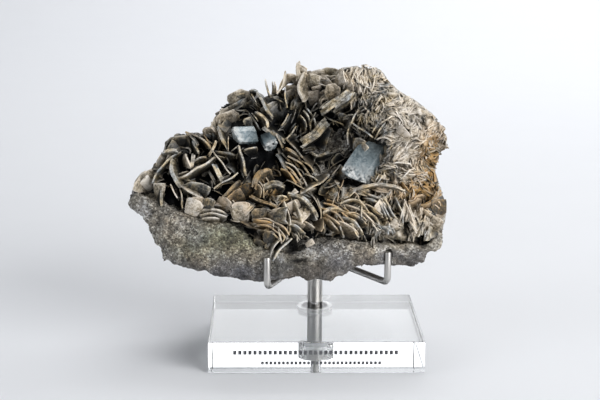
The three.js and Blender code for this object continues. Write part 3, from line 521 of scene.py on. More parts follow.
def add_sheet(pile, points, offset, half, marks):
    """A thin plate: a grid of points moved by offset along its normals, half its thickness each way."""
    along = np.gradient(points, axis=1)
    down = np.gradient(points, axis=0)
    normal = np.cross(along, down)
    normal /= np.linalg.norm(normal, axis=-1, keepdims=True) + 1e-9
    middle = points + normal * offset[..., None]
    skins = np.stack([middle + normal * half[..., None], middle - normal * half[..., None]])
    both = np.stack([marks, marks])
    if not meets_prong(skins.reshape(-1, 3)):
        pile.add(skins, grid_faces(*points.shape[:2]), NO_TRIANGLES, both)


# Stations along a blade and down it: fine near the free edges, where the pale rim lies.
STATIONS = {
    "large": (np.array([0, 0.03, 0.09, 0.18, 0.28, 0.39, 0.5, 0.61, 0.72, 0.82, 0.91, 0.97, 1]),
              np.array([0, 0.05, 0.16, 0.36, 0.58, 0.78, 1])),
    "small": (np.array([0, 0.07, 0.25, 0.5, 0.75, 0.93, 1]), np.array([0, 0.08, 0.35, 0.7, 1])),
    "tiny": (np.array([0, 0.3, 0.7, 1]), np.array([0, 0.3, 1])),
}
# A plate leans over the upper share of its face and runs straight down below it.
LEAN_SHARE = 0.72
# The main blades are made this share of the thickness that their rows give.
BLADE_THINNING = 0.72
# A main blade over the first thickness is a book of three laminae, and under the second a single one.
BOOK_THICKNESS, SINGLE_THICKNESS = 4, 1.9


def tone_at(u, v, random):
    """Paleness and iron stain of a blade that grows at a place, both from 0 to 1."""
    tone = 0.42 + bumps(PALE_PLACES, u, v) + random.normal(0, 0.15)
    stain = bumps(STAIN_PLACES, u, v) * random.uniform(0.1, 1.2) + random.uniform(-0.1, 0.15)
    return min(max(tone, 0), 1), min(max(stain, 0), 1)


def broken_edge(along, length, random):
    """Height of a plate's free edge: straight stretches between corners, chipped here and there."""
    near, far = random.uniform(0.06, 0.35), random.uniform(0.06, 0.35)
    knots = [0, near, random.uniform(0.4, 0.6), 1 - far, 1]
    drop = min(1, length / 12)
    heights = [-random.uniform(1, 4.5) * drop, 0, random.uniform(-0.7, 0.4) * drop, 0,
               -random.uniform(1, 4.5) * drop]
    chip = np.interp(along * length, np.arange(0, 40, 0.9), random.uniform(-0.45, 0.1, 45)) * drop
    return np.interp(along, knots, heights) + chip


def grow_blade(pile, row, random, grid, laminae, shade=0):
    """One blade as a book of laminae: its edge bows between two ends and its sheet runs back."""
    u1, v1, u2, v2, bow, lean, lift, thickness = row
    length = math.hypot(u2 - u1, v2 - v1)
    side_u, side_v = (v2 - v1) / length, -(u2 - u1) / length
    turn = math.radians(lean)
    stations, depths = STATIONS[grid]
    tone, stain = tone_at((u1 + u2) / 2, (v1 + v2) / 2, random)
    tone = min(max(tone + shade, 0), 1)
    flat = abs(lean) >= UPRIGHT
    curl, splay = random.uniform(-0.7, 0.7), random.choice([0.05, 0.12, 0.2, 0.6])
    near, far = random.uniform(0.1, 0.32), random.uniform(0.64, 0.9)
    crown = [0, random.uniform(0.7, 1.15), random.uniform(0.7, 1.15), 0]
    wave, phase, skew = random.uniform(0.1, 0.4), random.uniform(0, 6.3), random.uniform(-0.5, 0.5)
    rim = np.zeros((len(depths), len(stations)))
    rim[0, :] = rim[:, 0] = rim[:, -1] = 1
    if grid != "tiny":
        rim[1, 1:-1] = 0.25 if flat else 0.6
        rim[:, [1, -2]] = np.maximum(rim[:, [1, -2]], 0.2 if flat else 0.5)
    down = depths[:, None]
    lean_part = np.clip(down / LEAN_SHARE, 0, 1)
    root_part = np.clip((down - LEAN_SHARE) / (1 - LEAN_SHARE), 0, 1)
    small = min(1, length / 8)
    for layer in range(laminae):
        place = (layer + 0.5) / laminae - 0.5
        shrink = 1 - random.uniform(0, 0.22) * (layer > 0)
        recess = random.uniform(0, 1.0) * (layer > 0) * small
        slide = random.uniform(-0.05, 0.05)
        narrow = 1 - 0.3 * lean_part**2
        along = 0.5 + slide + (stations[None, :] - 0.5) * shrink * narrow
        swell = np.clip(1 - (2 * along - 1) ** 2, 0, 1)
        if flat:
            swell = np.interp(along, [0, near, far, 1], crown)
        u = u1 + (u2 - u1) * along - side_u * bow * swell
        v = v1 + (v2 - v1) * along - side_v * bow * swell
        tip = relief(u, v) + lift + broken_edge(along, length, random) - recess
        face = FACE_WIDTH * (0.7 + 0.3 * swell) * min(1, length / 12 + 0.3)
        sideways = face * math.sin(turn)
        bend = tip - face * math.cos(turn)
        root = np.minimum(bend - 1, relief(u + side_u * sideways, v + side_v * sideways) - ROOT_DEPTH)
        ripple = wave * np.sin(along * length * 0.5 + phase) + skew * (along - 0.5) * 2
        if not flat:
            across = sideways * down + (curl * 2.2 * down * (1 - down) + ripple * (1 - down)) * small
            w = tip + (root - tip) * down
        else:
            across = sideways * lean_part + ripple * (1 - lean_part) * 0.4
            w = tip + (bend - tip) * lean_part + (root - bend) * root_part
            w = w + (0.8 + curl) * np.sin(math.pi * lean_part) * np.ones_like(along)
            w = w + 0.35 * small * np.sin(along * length * 0.7 + phase + down * 4)
        u, v = held_inside(u + side_u * across, v + side_v * across, np.clip(down * 4, 0, 1))
        offset = place * thickness * (1 + splay * (1 - down)) * np.ones_like(u)
        half = thickness / laminae * (0.42 * (1 - 0.3 * rim) if laminae == 1 else 0.49 - 0.04 * rim)
        half = half * (1 + splay * (1 - down) * (laminae > 1))
        # Painted shade: how deep a point lies below the tips, more in the cavities and less near the outline;
        # the material darkens the blade by it.
        sunk = np.clip((relief(u, v) - 0.5 - w) / 9 + 0.7 * bumps(CAVITIES, u, v) * down, 0, 1)
        sunk = sunk * np.clip(edge_distance(u, v) / 8, 0.35, 1)
        marks = np.stack([rim, sunk, np.full_like(u, tone), np.full_like(u, stain)], -1)
        add_sheet(pile, sight(u, v, w), offset, half, marks)


def nearest_way(u, v, starts, ways):
    return ways[np.argmin(np.hypot(starts[:, 0] - u, starts[:, 1] - v))]


def filler_rows(random, count):
    """Shorter blades deep between the main ones, turned much as their neighbours are."""
    ends = np.array([row[:4] for row in BLADES], float)
    middles = (ends[:, :2] + ends[:, 2:]) / 2
    ways = np.arctan2(ends[:, 3] - ends[:, 1], ends[:, 2] - ends[:, 0])
    rows = []
    while len(rows) < count:
        u, v = random.uniform(*FILLER_FIELD[:2]), random.uniform(*FILLER_FIELD[2:])
        if edge_distance(u, v) < 5 or v < rim_at(u) + 1 or over_crystal(u, v):
            continue
        if random.uniform() < 1.3 * bumps(CAVITIES, u, v):
            continue
        way = nearest_way(u, v, middles, ways) + random.normal(0, 0.3)
        half = random.uniform(2, 6)
        du, dv = math.cos(way) * half, math.sin(way) * half
        lean = np.clip(random.normal(0, 30), -FILLER_LEAN, FILLER_LEAN)
        lift = random.uniform(-8.5, -1.5)
        rows.append((u - du, v - dv, u + du, v + dv, random.uniform(-1, 2), lean, lift,
                     random.uniform(0.5, 1.15)))
    return rows


def fringe_rows(random):
    """Plates that face the viewer along the upper outline, where the crust thins out."""
    angles = np.radians(np.arange(38, 172, 3.4))
    reach = np.interp(angles, OUTLINE_ANGLE, OUTLINE_RADIUS, period=2 * math.pi)
    rows = []
    for angle, radius in zip(angles, reach):
        for inset in (random.uniform(0.8, 2), random.uniform(4, 8)):
            turn = angle + random.normal(0, 0.35)
            half = random.uniform(3, 7)
            u = CENTRE_U + math.cos(angle) * (radius - inset)
            v = CENTRE_V + math.sin(angle) * (radius - inset)
            du, dv = -math.sin(turn) * half, math.cos(turn) * half
            row = (u + du, v + dv, u - du, v - dv)
            if min(edge_distance(row[0], row[1]), edge_distance(row[2], row[3])) < 0.6:
                continue
            rows.append(row + (random.uniform(0.2, 1.2), random.uniform(51, 66), random.uniform(-5, -2),
                               random.uniform(0.8, 1.3)))
    return rows


def arch_rows(random):
    """Families of nested curved plates, like the leaves of a bud."""
    rows = []
    for u, v, first, step, count, start, stop, lean, lift, thickness in ARCHES:
        for k in range(count):
            radius = first + step * (k + random.uniform(-0.25, 0.25))
            turns = [math.radians(angle + random.normal(0, 6)) for angle in (start, stop)]
            ends = [(u + radius * math.cos(turn), v + radius * math.sin(turn)) for turn in turns]
            bow = radius * (1 - math.cos((turns[0] - turns[1]) / 2)) * random.uniform(0.7, 1.1)
            rows.append((*ends[0], *ends[1], bow, lean + random.normal(0, 7),
                         lift - 0.5 * k + random.normal(0, 0.7), thickness * random.uniform(0.8, 1.3)))
    return rows


def bank_rows(random, count):
    """Small curled flakes on the pale bank: neighbours lie much the same way."""
    rows = []
    while len(rows) < count:
        u, v = random.uniform(*BANK_FIELD[:2]), random.uniform(*BANK_FIELD[2:])
        if edge_distance(u, v) < 1.5 or v < rim_at(u) or random.uniform() > bank_share(u, v) * 1.6 - 0.25:
            continue
        flow = lattice_noise(np.array([u, v, 0.0]), 14, 61)
        flow = flow + 0.6 * lattice_noise(np.array([u, v, 5.0]), 6, 62)
        angle = math.radians(86 + 1.8 * (u - 63) + 1.6 * max(v - 54, 0)) + flow * 2.1 + random.normal(0, 0.3)
        half = 0.7 + 2.6 * random.uniform() ** 1.5
        du, dv = math.cos(angle) * half, math.sin(angle) * half
        if edge_distance(u + du, v + dv) < 0.6 or over_crystal(u, v):
            continue
        lean = (36 if flow > -0.3 else -30) + random.normal(0, 11)
        rows.append((u - du, v - dv, u + du, v + dv, random.uniform(-0.4, 0.35) * half,
                     np.clip(lean, -BANK_LEAN, BANK_LEAN),
                     1.3 * bank_lump(u, v) + random.uniform(-1.8, 0.4), random.uniform(0.35, 0.8)))
    return rows


def bank_lump(u, v):
    """Height of the bank's lumps at a place, which give it its crumpled look."""
    place = np.stack([np.asarray(u, float), np.asarray(v, float), np.zeros_like(np.asarray(u, float))], -1)
    return 1.9 * lattice_noise(place * (1, 0.7, 1), 7, 63) + 1.2 * lattice_noise(place, 3.6, 64) - 0.7


def bank_share(u, v):
    """How far a place belongs to the pale bank on the right, from 0 to 1."""
    return np.clip(bumps([(BANK_U, BANK_V, 27, 38, 1.3), (46, 72, 26, 12, 0.8)], u, v), 0, 1)


def over_crystal(u, v):
    """Whether a place lies in front of one of the crystals."""
    for (root_u, root_v, _), (tip_u, tip_v, _), corners, *_ in CRYSTALS.values():
        du, dv = tip_u - root_u, tip_v - root_v
        share = min(max(((u - root_u) * du + (v - root_v) * dv) / (du * du + dv * dv), 0.1), 1)
        if math.hypot(u - root_u - share * du, v - root_v - share * dv) < 0.3 * max(corners)[0] + 5.6:
            return True
    return False


def flake_rows(random):
    """Bunches of fine flakes, each bunch fanned out from one root."""
    rows = []
    for u, v, spread_u, spread_v, count, way, width, short, long, lift, thickness in BUNCHES:
        for _ in range(count):
            root_u, root_v = random.normal(u, spread_u), random.normal(v, spread_v)
            if edge_distance(root_u, root_v) < 3 or root_v < rim_at(root_u) - 1:
                continue
            middle, turn = math.radians(way + random.normal(0, width)), random.normal(0, 34)
            for _ in range(random.randint(5, 10)):
                angle = middle + random.normal(0, 0.16)
                start, size = random.uniform(0, 1.5), random.uniform(short, long)
                du, dv = math.cos(angle), math.sin(angle)
                end_u, end_v = root_u + du * (start + size), root_v + dv * (start + size)
                if edge_distance(end_u, end_v) < 0 or over_crystal(end_u, end_v):
                    continue
                rows.append((root_u + du * start + random.normal(0, 0.8),
                             root_v + dv * start + random.normal(0, 0.8), end_u, end_v,
                             random.normal(0.3, 0.6),
                             np.clip(turn + random.normal(0, 8), -FLAKE_LEAN, FLAKE_LEAN),
                             lift + random.normal(0, 1.4), thickness * random.uniform(0.6, 1.3)))
    return rows


FOOT_SPACING = 0.85


def crust_foot():
    """The grown-together foot of the blades: a lumpy slab over the rock's face, given painted shade
    that makes it near black between the blades, and rising to a pale, crumpled mass on the bank."""
    u, v = np.meshgrid(np.arange(*FOOT_FIELD[:2], FOOT_SPACING), np.arange(*FOOT_FIELD[2:], FOOT_SPACING))
    flat = np.stack([u, v, np.zeros_like(u)], -1)
    wander = flat + 0.35 * np.stack([lattice_noise(flat, 2, 71), lattice_noise(flat, 2, 72), 0 * u], -1)
    inside = edge_distance(u, v) > 3.2 - 2 * bank_share(u, v)
    inside &= v > rim_at(u) + 1.5 * lattice_noise(flat, 6, 73)
    cells = inside[:-1, :-1] & inside[1:, :-1] & inside[1:, 1:] & inside[:-1, 1:]
    at = np.arange(u.size).reshape(u.shape)
    front = np.stack([at[:-1, :-1], at[:-1, 1:], at[1:, 1:], at[1:, :-1]], -1)[cells]
    edges = np.stack([front, np.roll(front, -1, 1)], -1).reshape(-1, 2)
    known = set(map(tuple, edges))
    border = np.array([edge for edge in known if (edge[1], edge[0]) not in known])
    border = border[np.lexsort(border.T)]
    bank = bank_share(u, v)
    coarse, middling = lattice_noise(flat, 6, 3), lattice_noise(flat, 2.8, 4)
    fine = lattice_noise(flat, 1.3, 5)
    stretched = lattice_noise(flat * (1, 0.35, 1), 1.7, 6)
    lumps = 0.9 * coarse + 0.6 * middling + 0.3 * fine + 4 * bumps(GRANULAR_PLACES, u, v)
    lumps += bank * (1.3 * bank_lump(u, v) + 0.6 + 0.5 * middling + 0.9 * stretched + 0.6 * fine)
    inward = np.clip(edge_distance(u, v) / 9, 0, 1)
    thin = 6 * (1 - inward * inward * (3 - 2 * inward)) * (1 - bank)
    cavity = bumps(CAVITIES, u, v)
    top = relief(u, v) - CRUST_DEPTH + base_height(u, v) - 0.6 + lumps - thin + 2.2 * bank - 4 * cavity
    under = relief(u, v) - CRUST_DEPTH - CRUST_SEAT - thin * 0.7
    points = np.stack([sight(wander[..., 0], wander[..., 1], top), sight(u, v, np.minimum(under, top - 0.5))])
    back = front[:, ::-1] + u.size
    rim = np.stack([border[:, 1], border[:, 0], border[:, 0] + u.size, border[:, 1] + u.size], -1)
    quads = np.concatenate([front, back, rim])
    ridge = np.clip(0.45 + 0.3 * middling + 0.35 * stretched + 0.35 * fine, 0, 1)
    grown = np.maximum(bank, np.clip(bumps(GRANULAR_PLACES, u, v) - cavity, 0, 1))
    # Painted shade of the foot: near black between the blades and in the cavities, less so near the outline
    # and on the bank and the granular places.
    sunk = np.clip((1 - grown * (0.45 + 0.55 * ridge) + cavity) * (0.4 + 0.6 * inward), 0, 1)
    marks = np.stack([grown * ridge * 0.8, sunk, 0.25 + grown * (0.15 + 0.5 * ridge),
                      np.clip(bumps(STAIN_PLACES, u, v), 0, 1)], -1)
    marks = np.stack([marks, marks]).reshape(-1, 4)
    used = np.unique(quads)
    number = np.zeros(u.size * 2, int)
    number[used] = np.arange(len(used))
    return points.reshape(-1, 3)[used], number[quads], marks[used]


# ---- rock ----

ROCK_VOXEL = 1.0
# Faintly green places of the rock's face: u, v, spread across, spread up, amount.
GREEN_PLACES = [(-46, -22, 16, 9, 1), (-30, -24, 10, 7, 0.8), (-66, -30, 14, 7, 0.5), (-12, -40, 12, 6, 0.3)]
# Up to STAND_NEAR from the middle line of the post or an arm the rock's skin is smooth and pressed
# in by STAND_PRESS, and it is fully rough STAND_CLEARANCE further out. Loose grains keep
# GRAIN_CLEARANCE from the same lines.
STAND_NEAR, STAND_PRESS, STAND_CLEARANCE = 3, 0.25, 9
GRAIN_CLEARANCE = 5.5
SMOOTHING_ROUNDS = 5


def remeshed(node, voxel):
    """Points and quads of a node's solid, remade as an even mesh."""
    copy = bpy.data.objects.new("remesh_work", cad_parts[node].data.copy())
    bpy.context.scene.collection.objects.link(copy)
    remesh = copy.modifiers.new("even", "REMESH")
    remesh.mode = "VOXEL"
    remesh.voxel_size = voxel * MM
    made = copy.evaluated_get(bpy.context.evaluated_depsgraph_get()).to_mesh()
    points = np.zeros(len(made.vertices) * 3)
    made.vertices.foreach_get("co", points)
    quads = np.zeros(len(made.loops), int)
    made.loops.foreach_get("vertex_index", quads)
    edges = np.zeros(len(made.edges) * 2, int)
    made.edges.foreach_get("vertices", edges)
    data = copy.data
    bpy.data.objects.remove(copy)
    bpy.data.meshes.remove(data)
    return points.reshape(-1, 3) / MM, quads.reshape(-1, 4), edges.reshape(-1, 2)


def smoothed(points, edges, rounds):
    """Each point moved towards the middle of its neighbours."""
    count = np.bincount(edges.ravel(), minlength=len(points))[:, None]
    for _ in range(rounds):
        total = np.zeros_like(points)
        np.add.at(total, edges[:, 0], points[edges[:, 1]])
        np.add.at(total, edges[:, 1], points[edges[:, 0]])
        points = points + 0.6 * (total / count - points)
    return points


def point_normals(points, quads):
    corners = points[quads]
    normal = np.cross(corners[:, 2] - corners[:, 0], corners[:, 3] - corners[:, 1])
    total = np.zeros_like(points)
    for k in range(4):
        np.add.at(total, quads[:, k], normal)
    return total / (np.linalg.norm(total, axis=1, keepdims=True) + 1e-9)


def segment_distance(points, start, end):
    start, end = np.array(start, float), np.array(end, float)
    share = np.clip((points - start) @ (end - start) / ((end - start) @ (end - start)), 0, 1)
    return np.linalg.norm(points - start - share[:, None] * (end - start), axis=1)


def stand_distance(points):
    """How far places lie from the middle lines of the post and the arms."""
    hub = (POST["x"], POST["y"], ARM["height"])
    near = segment_distance(points, (POST["x"], POST["y"], 0), (POST["x"], POST["y"], POST["top"]))
    for x, y, top in ARM_ENDS.values():
        elbow = (x, y, ARM["height"])
        near = np.minimum(near, segment_distance(points, hub, elbow))
        near = np.minimum(near, segment_distance(points, elbow, (x, y, top)))
    return near


# Hollows in the rock's face, which also get painted shade: u, v, spread across, spread up, depth.
PITS = [
    (-5, -27, 5, 9, 3), (0, -36.5, 6, 1.3, 2.5), (74, -23, 4, 6, 3.5), (33.5, -29, 1.2, 1, 2),
    (-32, -17, 6, 4, 1.5),
]


def rock_surface():
    """The rock with a weathered, granular skin, pressed in where the stand holds it."""
    points, quads, edges = remeshed("matrix_rock", ROCK_VOXEL)
    points = smoothed(points, edges, SMOOTHING_ROUNDS)
    normals = point_normals(points, quads)
    height = 1.7 * lattice_noise(points, 12, 21) + 1.4 * lattice_noise(points, 5.5, 22)
    height += 1.0 * lattice_noise(points, 3, 23) + 0.5 * lattice_noise(points, 1.6, 24)
    across, up, out = display(points)
    sunk = bumps(PITS, across, up) * (out > -20)
    height -= sunk
    near = np.clip(1 - (stand_distance(points) - STAND_NEAR) / STAND_CLEARANCE, 0, 1)
    height = height * (1 - near) - STAND_PRESS * near
    # The last value is how deep each point lies in a pit, given as painted shade.
    return points + normals * height[:, None], quads, normals, np.clip(sunk / 2.5, 0, 1)


GRAIN_CORNERS = np.array([(1, 0, 0), (-1, 0, 0), (0, 1, 0), (0, -1, 0), (0, 0, 1), (0, 0, -1)], float)
GRAIN_FACES = np.array([
    (0, 2, 4), (2, 1, 4), (1, 3, 4), (3, 0, 4), (2, 0, 5), (1, 2, 5), (3, 1, 5), (0, 3, 5),
])


def turned_at_random(random, count):
    """Random turning matrices."""
    quaternion = random.normal(size=(count, 4))
    quaternion /= np.linalg.norm(quaternion, axis=1, keepdims=True)
    a, b, c, d = quaternion.T
    return np.stack([
        np.stack([1 - 2 * (c * c + d * d), 2 * (b * c - a * d), 2 * (b * d + a * c)], -1),
        np.stack([2 * (b * c + a * d), 1 - 2 * (b * b + d * d), 2 * (c * d - a * b)], -1),
        np.stack([2 * (b * d - a * c), 2 * (c * d + a * b), 1 - 2 * (b * b + c * c)], -1),
    ], 1)


def add_grains(pile, places, normals, under, sunk, tinge, random, smallest, largest):
    """Small angular grains half sunk in a surface."""
    count = len(places)
    size = smallest + (largest - smallest) * random.uniform(size=count) ** 2.5
    shape = GRAIN_CORNERS[None] * (size[:, None, None] * random.uniform(0.35, 1.1, (count, 6, 1)))
    shape = shape @ turned_at_random(random, count)
    points = places[:, None] + shape - normals[:, None] * (size * 0.25)[:, None, None]
    faces = (GRAIN_FACES[None] + 6 * np.arange(count)[:, None, None]).reshape(-1, 3)
    tone = random.choice([0.1, 0.5, 1], count, p=[0.2, 0.5, 0.3]) + random.normal(0, 0.1, count)
    tone = np.clip(tone, 0, 1)
    # The grains take the rock's painted shade: the lower band's share and the pit depth.
    marks = np.stack([under, sunk, tone, tinge], -1)[:, None].repeat(6, 1)
    pile.add(points, NO_QUADS, faces, marks)


# ---- aquamarine ----

PRISM_AROUND = 96
PRISM_ALONG = 36
PRISM_CAP = 9


def prism_points(shape):
    """A prism with softened edges, a sugary free end and fine growth steps."""
    root, tip, corners, cut_root, cut_tip = shape
    start, end = sight(*root), sight(*tip)
    axis = end - start
    length = np.linalg.norm(axis)
    axis /= length
    out = -AHEAD - axis * (-AHEAD @ axis)
    out /= np.linalg.norm(out)
    across = np.cross(out, axis)
    share = np.arange(PRISM_AROUND) / PRISM_AROUND * len(corners)
    first = share.astype(int)
    part = (share - first)[:, None]

    def round_the_corners(values):
        ring = values[first] * (1 - part) + values[(first + 1) % len(corners)] * part
        return 0.6 * ring + 0.2 * (np.roll(ring, 1, 0) + np.roll(ring, -1, 0))

    ring = round_the_corners(np.array(corners, float))
    away = ring / np.linalg.norm(ring, axis=1, keepdims=True)
    low = round_the_corners(np.array(cut_root, float)[:, None])[:, 0]
    high = length - round_the_corners(np.array(cut_tip, float)[:, None])[:, 0]
    t = np.concatenate([np.linspace(0, 0.93, PRISM_ALONG - 3), [0.97, 0.99, 1]])[:, None]
    cap = np.linspace(1, 0.03, PRISM_CAP + 1)[1:][:, None]
    side = low + (high - low) * t
    heights = np.concatenate([np.mean(low) + (low - np.mean(low)) * cap[::-1], side,
                              np.mean(high) + (high - np.mean(high)) * cap])
    scale = np.concatenate([cap[::-1], np.ones_like(t), cap])
    softening = np.where(t > 0.98, 0.35, np.where(t > 0.96, 0.12, 0))
    inset = np.concatenate([0.35 * cap[::-1], softening, 0.35 * cap])
    plane = ring[None] * scale[..., None] - away[None] * inset[..., None]
    local = np.concatenate([plane, heights[..., None]], -1)
    rough = np.clip(1.1 - (length - heights + 3 * lattice_noise(local, 4, 35)) / (0.3 * length), 0, 1)
    noise = lattice_noise(local, 1.7, 31) + 0.6 * lattice_noise(local, 0.85, 32)
    steps = lattice_noise(local * (1, 1, 0.15), 1.3, 33) + lattice_noise(local, 5, 34)
    pits = np.clip(noise - 0.15, 0, 1) * 0.9 * rough + 0.13 * (steps + 2) + 0.15 * rough * (noise + 1)
    flat_end = np.concatenate([np.zeros(PRISM_CAP + PRISM_ALONG), np.ones(PRISM_CAP)])[:, None]
    plane = plane - away[None] * (pits * (1 - flat_end))[..., None] * scale[..., None]
    heights = heights - pits * flat_end
    points = start + plane[..., :1] * across + plane[..., 1:] * out + heights[..., None] * axis
    return points, rough, np.clip(noise - 0.15, 0, 1) * rough, np.clip(heights / length, 0, 1)


def add_prism(pile, shape, dull):
    points, rough, pits, along = prism_points(shape)
    rings = len(points)
    at = np.arange(rings * PRISM_AROUND).reshape(rings, PRISM_AROUND)
    after = np.roll(at, -1, 1)
    quads = np.stack([at[:-1], at[1:], after[1:], after[:-1]], -1).reshape(-1, 4)
    hubs = np.array([points[0].mean(0), points[-1].mean(0)])
    low, high = at.size, at.size + 1
    fans = np.concatenate([
        np.stack([np.full(PRISM_AROUND, low), at[0], after[0]], -1),
        np.stack([np.full(PRISM_AROUND, high), after[-1], at[-1]], -1),
    ])
    marks = np.stack([rough, np.clip(pits * 2, 0, 1), along, np.full_like(rough, dull)], -1)
    everything = np.concatenate([points.reshape(-1, 3), hubs])
    hub_marks = np.array([marks[0].mean(0), marks[-1].mean(0)])
    pile.add(everything, quads, fans, np.concatenate([marks.reshape(-1, 4), hub_marks]))


# ---- stand ----

def lathe(profile, x, y, sides):
    """A turned shape about the vertical through x, y; profile is a closed line of radius and height,
    and a radius of nought is one point on the axis."""
    angles = np.arange(sides) / sides * 2 * math.pi
    ring = np.stack([np.cos(angles), np.sin(angles)], -1)
    points, rings, quads, triangles = [], [], [], [NO_TRIANGLES]
    for r, z in profile:
        count = sides if r else 1
        rings.append(len(points) + np.arange(sides) % count)
        points += [(x + r * c, y + r * s, z) for c, s in ring[:count]]
    for at, below in zip(rings, rings[1:] + rings[:1]):
        across, under = np.roll(at, -1), np.roll(below, -1)
        if at[0] != at[1] and below[0] != below[1]:
            quads.append(np.stack([at, across, under, below], -1))
        elif at[0] != at[1]:
            triangles.append(np.stack([at, across, below], -1))
        elif below[0] != below[1]:
            triangles.append(np.stack([at, under, below], -1))
    return np.array(points, float), np.concatenate(quads), np.concatenate(triangles)


def turned_piece(name, profile, sides, material, replaced):
    pile = Pile()
    points, quads, triangles = lathe(profile, POST["x"], POST["y"], sides)
    pile.add(points, quads, triangles, np.zeros((len(points), 4)))
    return pile.piece(name, "polished_steel", material, replaced)


def softened(profile, corner, radius, steps=4):
    """The profile with one of its corners rounded."""
    before, here, after = (np.array(profile[(corner + k) % len(profile)], float) for k in (-1, 0, 1))
    into = here + (before - here) / np.linalg.norm(before - here) * radius
    out = here + (after - here) / np.linalg.norm(after - here) * radius
    curve = []
    for t in np.linspace(0, 1, steps + 1):
        curve.append(tuple((1 - t) ** 2 * into + 2 * t * (1 - t) * here + t * t * out))
    return profile[:corner] + curve + profile[corner + 1:]


def arm_line(x, y, top):
    """Middle line of an arm: out from the post, round its elbow and up to the prong's end."""
    start, corner = np.array([POST["x"], POST["y"], ARM["height"]]), np.array([x, y, ARM["height"]], float)
    out = (corner - start) / np.linalg.norm(corner - start)
    low, high = corner - out * ARM["elbow"], corner + (0, 0, ARM["elbow"])
    line = [start + out * (POST["radius"] - ARM["inset"])]
    for t in np.linspace(0, 1, 13):
        line.append((1 - t) ** 2 * low + 2 * t * (1 - t) * corner + t * t * high)
    return np.array(line + [np.array([x, y, top], float)])


def rod(line, radius, sides):
    """A round rod along a line in one upright plane, its free end softly rounded."""
    across = np.array([-(line[-1] - line[0])[1], (line[-1] - line[0])[0], 0])
    across /= np.linalg.norm(across)
    way = (line[-1] - line[-2]) / np.linalg.norm(line[-1] - line[-2])
    end = line[-1]
    rings = [(place, radius) for place in line[:-1]]
    rings += [(end - way * 0.6, radius), (end - way * 0.25, radius * 0.93), (end - way * 0.06, radius * 0.75)]
    rings += [(end, radius * 0.4), (end, radius * 0.02)]
    places = np.array([place for place, _ in rings])
    tangent = np.gradient(places[:len(line)], axis=0)
    tangent = np.concatenate([tangent, np.repeat(way[None], len(rings) - len(line), 0)])
    tangent[-6:] = way
    tangent /= np.linalg.norm(tangent, axis=1, keepdims=True)
    other = np.cross(tangent, across)
    angles = np.arange(sides) / sides * 2 * math.pi
    turn = np.cos(angles)[:, None, None] * across + np.sin(angles)[:, None, None] * other
    points = places + turn * np.array([r for _, r in rings])[:, None]
    points = points.transpose(1, 0, 2)
    at = np.arange(points.shape[0] * sides).reshape(-1, sides)
    after = np.roll(at, -1, 1)
    faces = np.stack([at[:-1], after[:-1], after[1:], at[1:]], -1).reshape(-1, 4)
    return points, faces, np.stack([at[0, 2:], at[0, 1:-1], np.full(sides - 2, at[0, 0])], -1), \
        np.stack([at[-1, 1:-1], at[-1, 2:], np.full(sides - 2, at[-1, 0])], -1)


# ---- finishes ----

def hex_colour(text):
    """An sRGB hex colour as linear red, green, blue and alpha."""
    values = [int(text[i:i + 2], 16) / 255 for i in (1, 3, 5)]
    return tuple(v / 12.92 if v <= 0.04045 else ((v + 0.055) / 1.055) ** 2.4 for v in values) + (1.0,)


def opaque(colour):
    """A user's colour with full alpha."""
    return tuple(colour) + (1,)


def add_node(tree, kind, settings=None, inputs=None, stops=None):
    """A shader node with its settings, its inputs (values or other sockets) and its ramp stops."""
    node = tree.nodes.new(kind)
    for key, value in (settings or {}).items():
        setattr(node, key, value)
    for key, value in (inputs or {}).items():
        if isinstance(value, bpy.types.NodeSocket):
            tree.links.new(value, node.inputs[key])
        else:
            node.inputs[key].default_value = value
    if stops:
        ramp = node.color_ramp.elements
        while len(ramp) < len(stops):
            ramp.new(0.5)
        for element, (position, colour) in zip(ramp, stops):
            element.position = position
            element.color = colour
    return node


def ramp(tree, value, stops):
    """A colour picked by a value along stops of sRGB hex colours."""
    stops = [(position, hex_colour(text)) for position, text in stops]
    return add_node(tree, "ShaderNodeValToRGB", None, {"Fac": value}, stops).outputs["Color"]


def ranged(tree, value, low=0, high=1, to_low=0, to_high=1):
    """A value that runs from to_low to to_high while the given one runs from low to high."""
    return add_node(tree, "ShaderNodeMapRange", None, {
        "Value": value, "From Min": low, "From Max": high, "To Min": to_low, "To Max": to_high,
    }).outputs["Result"]


def new_material(name, **surface):
    """A material with one Principled shader; its constants are set on the shader itself."""
    material = bpy.data.materials.new(name)
    material.use_nodes = True
    tree = material.node_tree
    shader = tree.nodes["Principled BSDF"]
    for key, value in surface.items():
        shader.inputs[key.replace("_", " ")].default_value = value
    return material, tree, shader


def growth_marks(tree):
    """The rim, depth, tone and stain that each point of a grown piece carries."""
    marks = add_node(tree, "ShaderNodeAttribute", {"attribute_name": "growth"})
    split = add_node(tree, "ShaderNodeSeparateColor", None, {"Color": marks.outputs["Color"]})
    return split.outputs["Red"], split.outputs["Green"], split.outputs["Blue"], marks.outputs["Alpha"]


def noise_node(tree, size_mm, detail=2, distortion=0):
    """Noise in object space whose lumps are about size_mm across."""
    place = add_node(tree, "ShaderNodeTexCoord")
    scale = 1 / (size_mm * MM)
    return add_node(tree, "ShaderNodeTexNoise", None, {
        "Vector": place.outputs["Object"], "Scale": scale, "Detail": detail, "Distortion": distortion,
    })


def mix_colour(tree, share, first, second, blend="MIX"):
    node = add_node(tree, "ShaderNodeMix", {"data_type": "RGBA", "blend_type": blend, "clamp_factor": True})
    for index, value in ((0, share), (6, first), (7, second)):
        if isinstance(value, bpy.types.NodeSocket):
            tree.links.new(value, node.inputs[index])
        else:
            node.inputs[index].default_value = value
    return node.outputs[2]


def calculate(tree, operation, first, second=0.0, clamp=False):
    settings = {"operation": operation, "use_clamp": clamp}
    return add_node(tree, "ShaderNodeMath", settings, {0: first, 1: second}).outputs[0]


def swing(tree, value, strength):
    """A noise about its middle, made stronger or weaker."""
    return calculate(tree, "MULTIPLY", calculate(tree, "SUBTRACT", value, 0.5), strength)


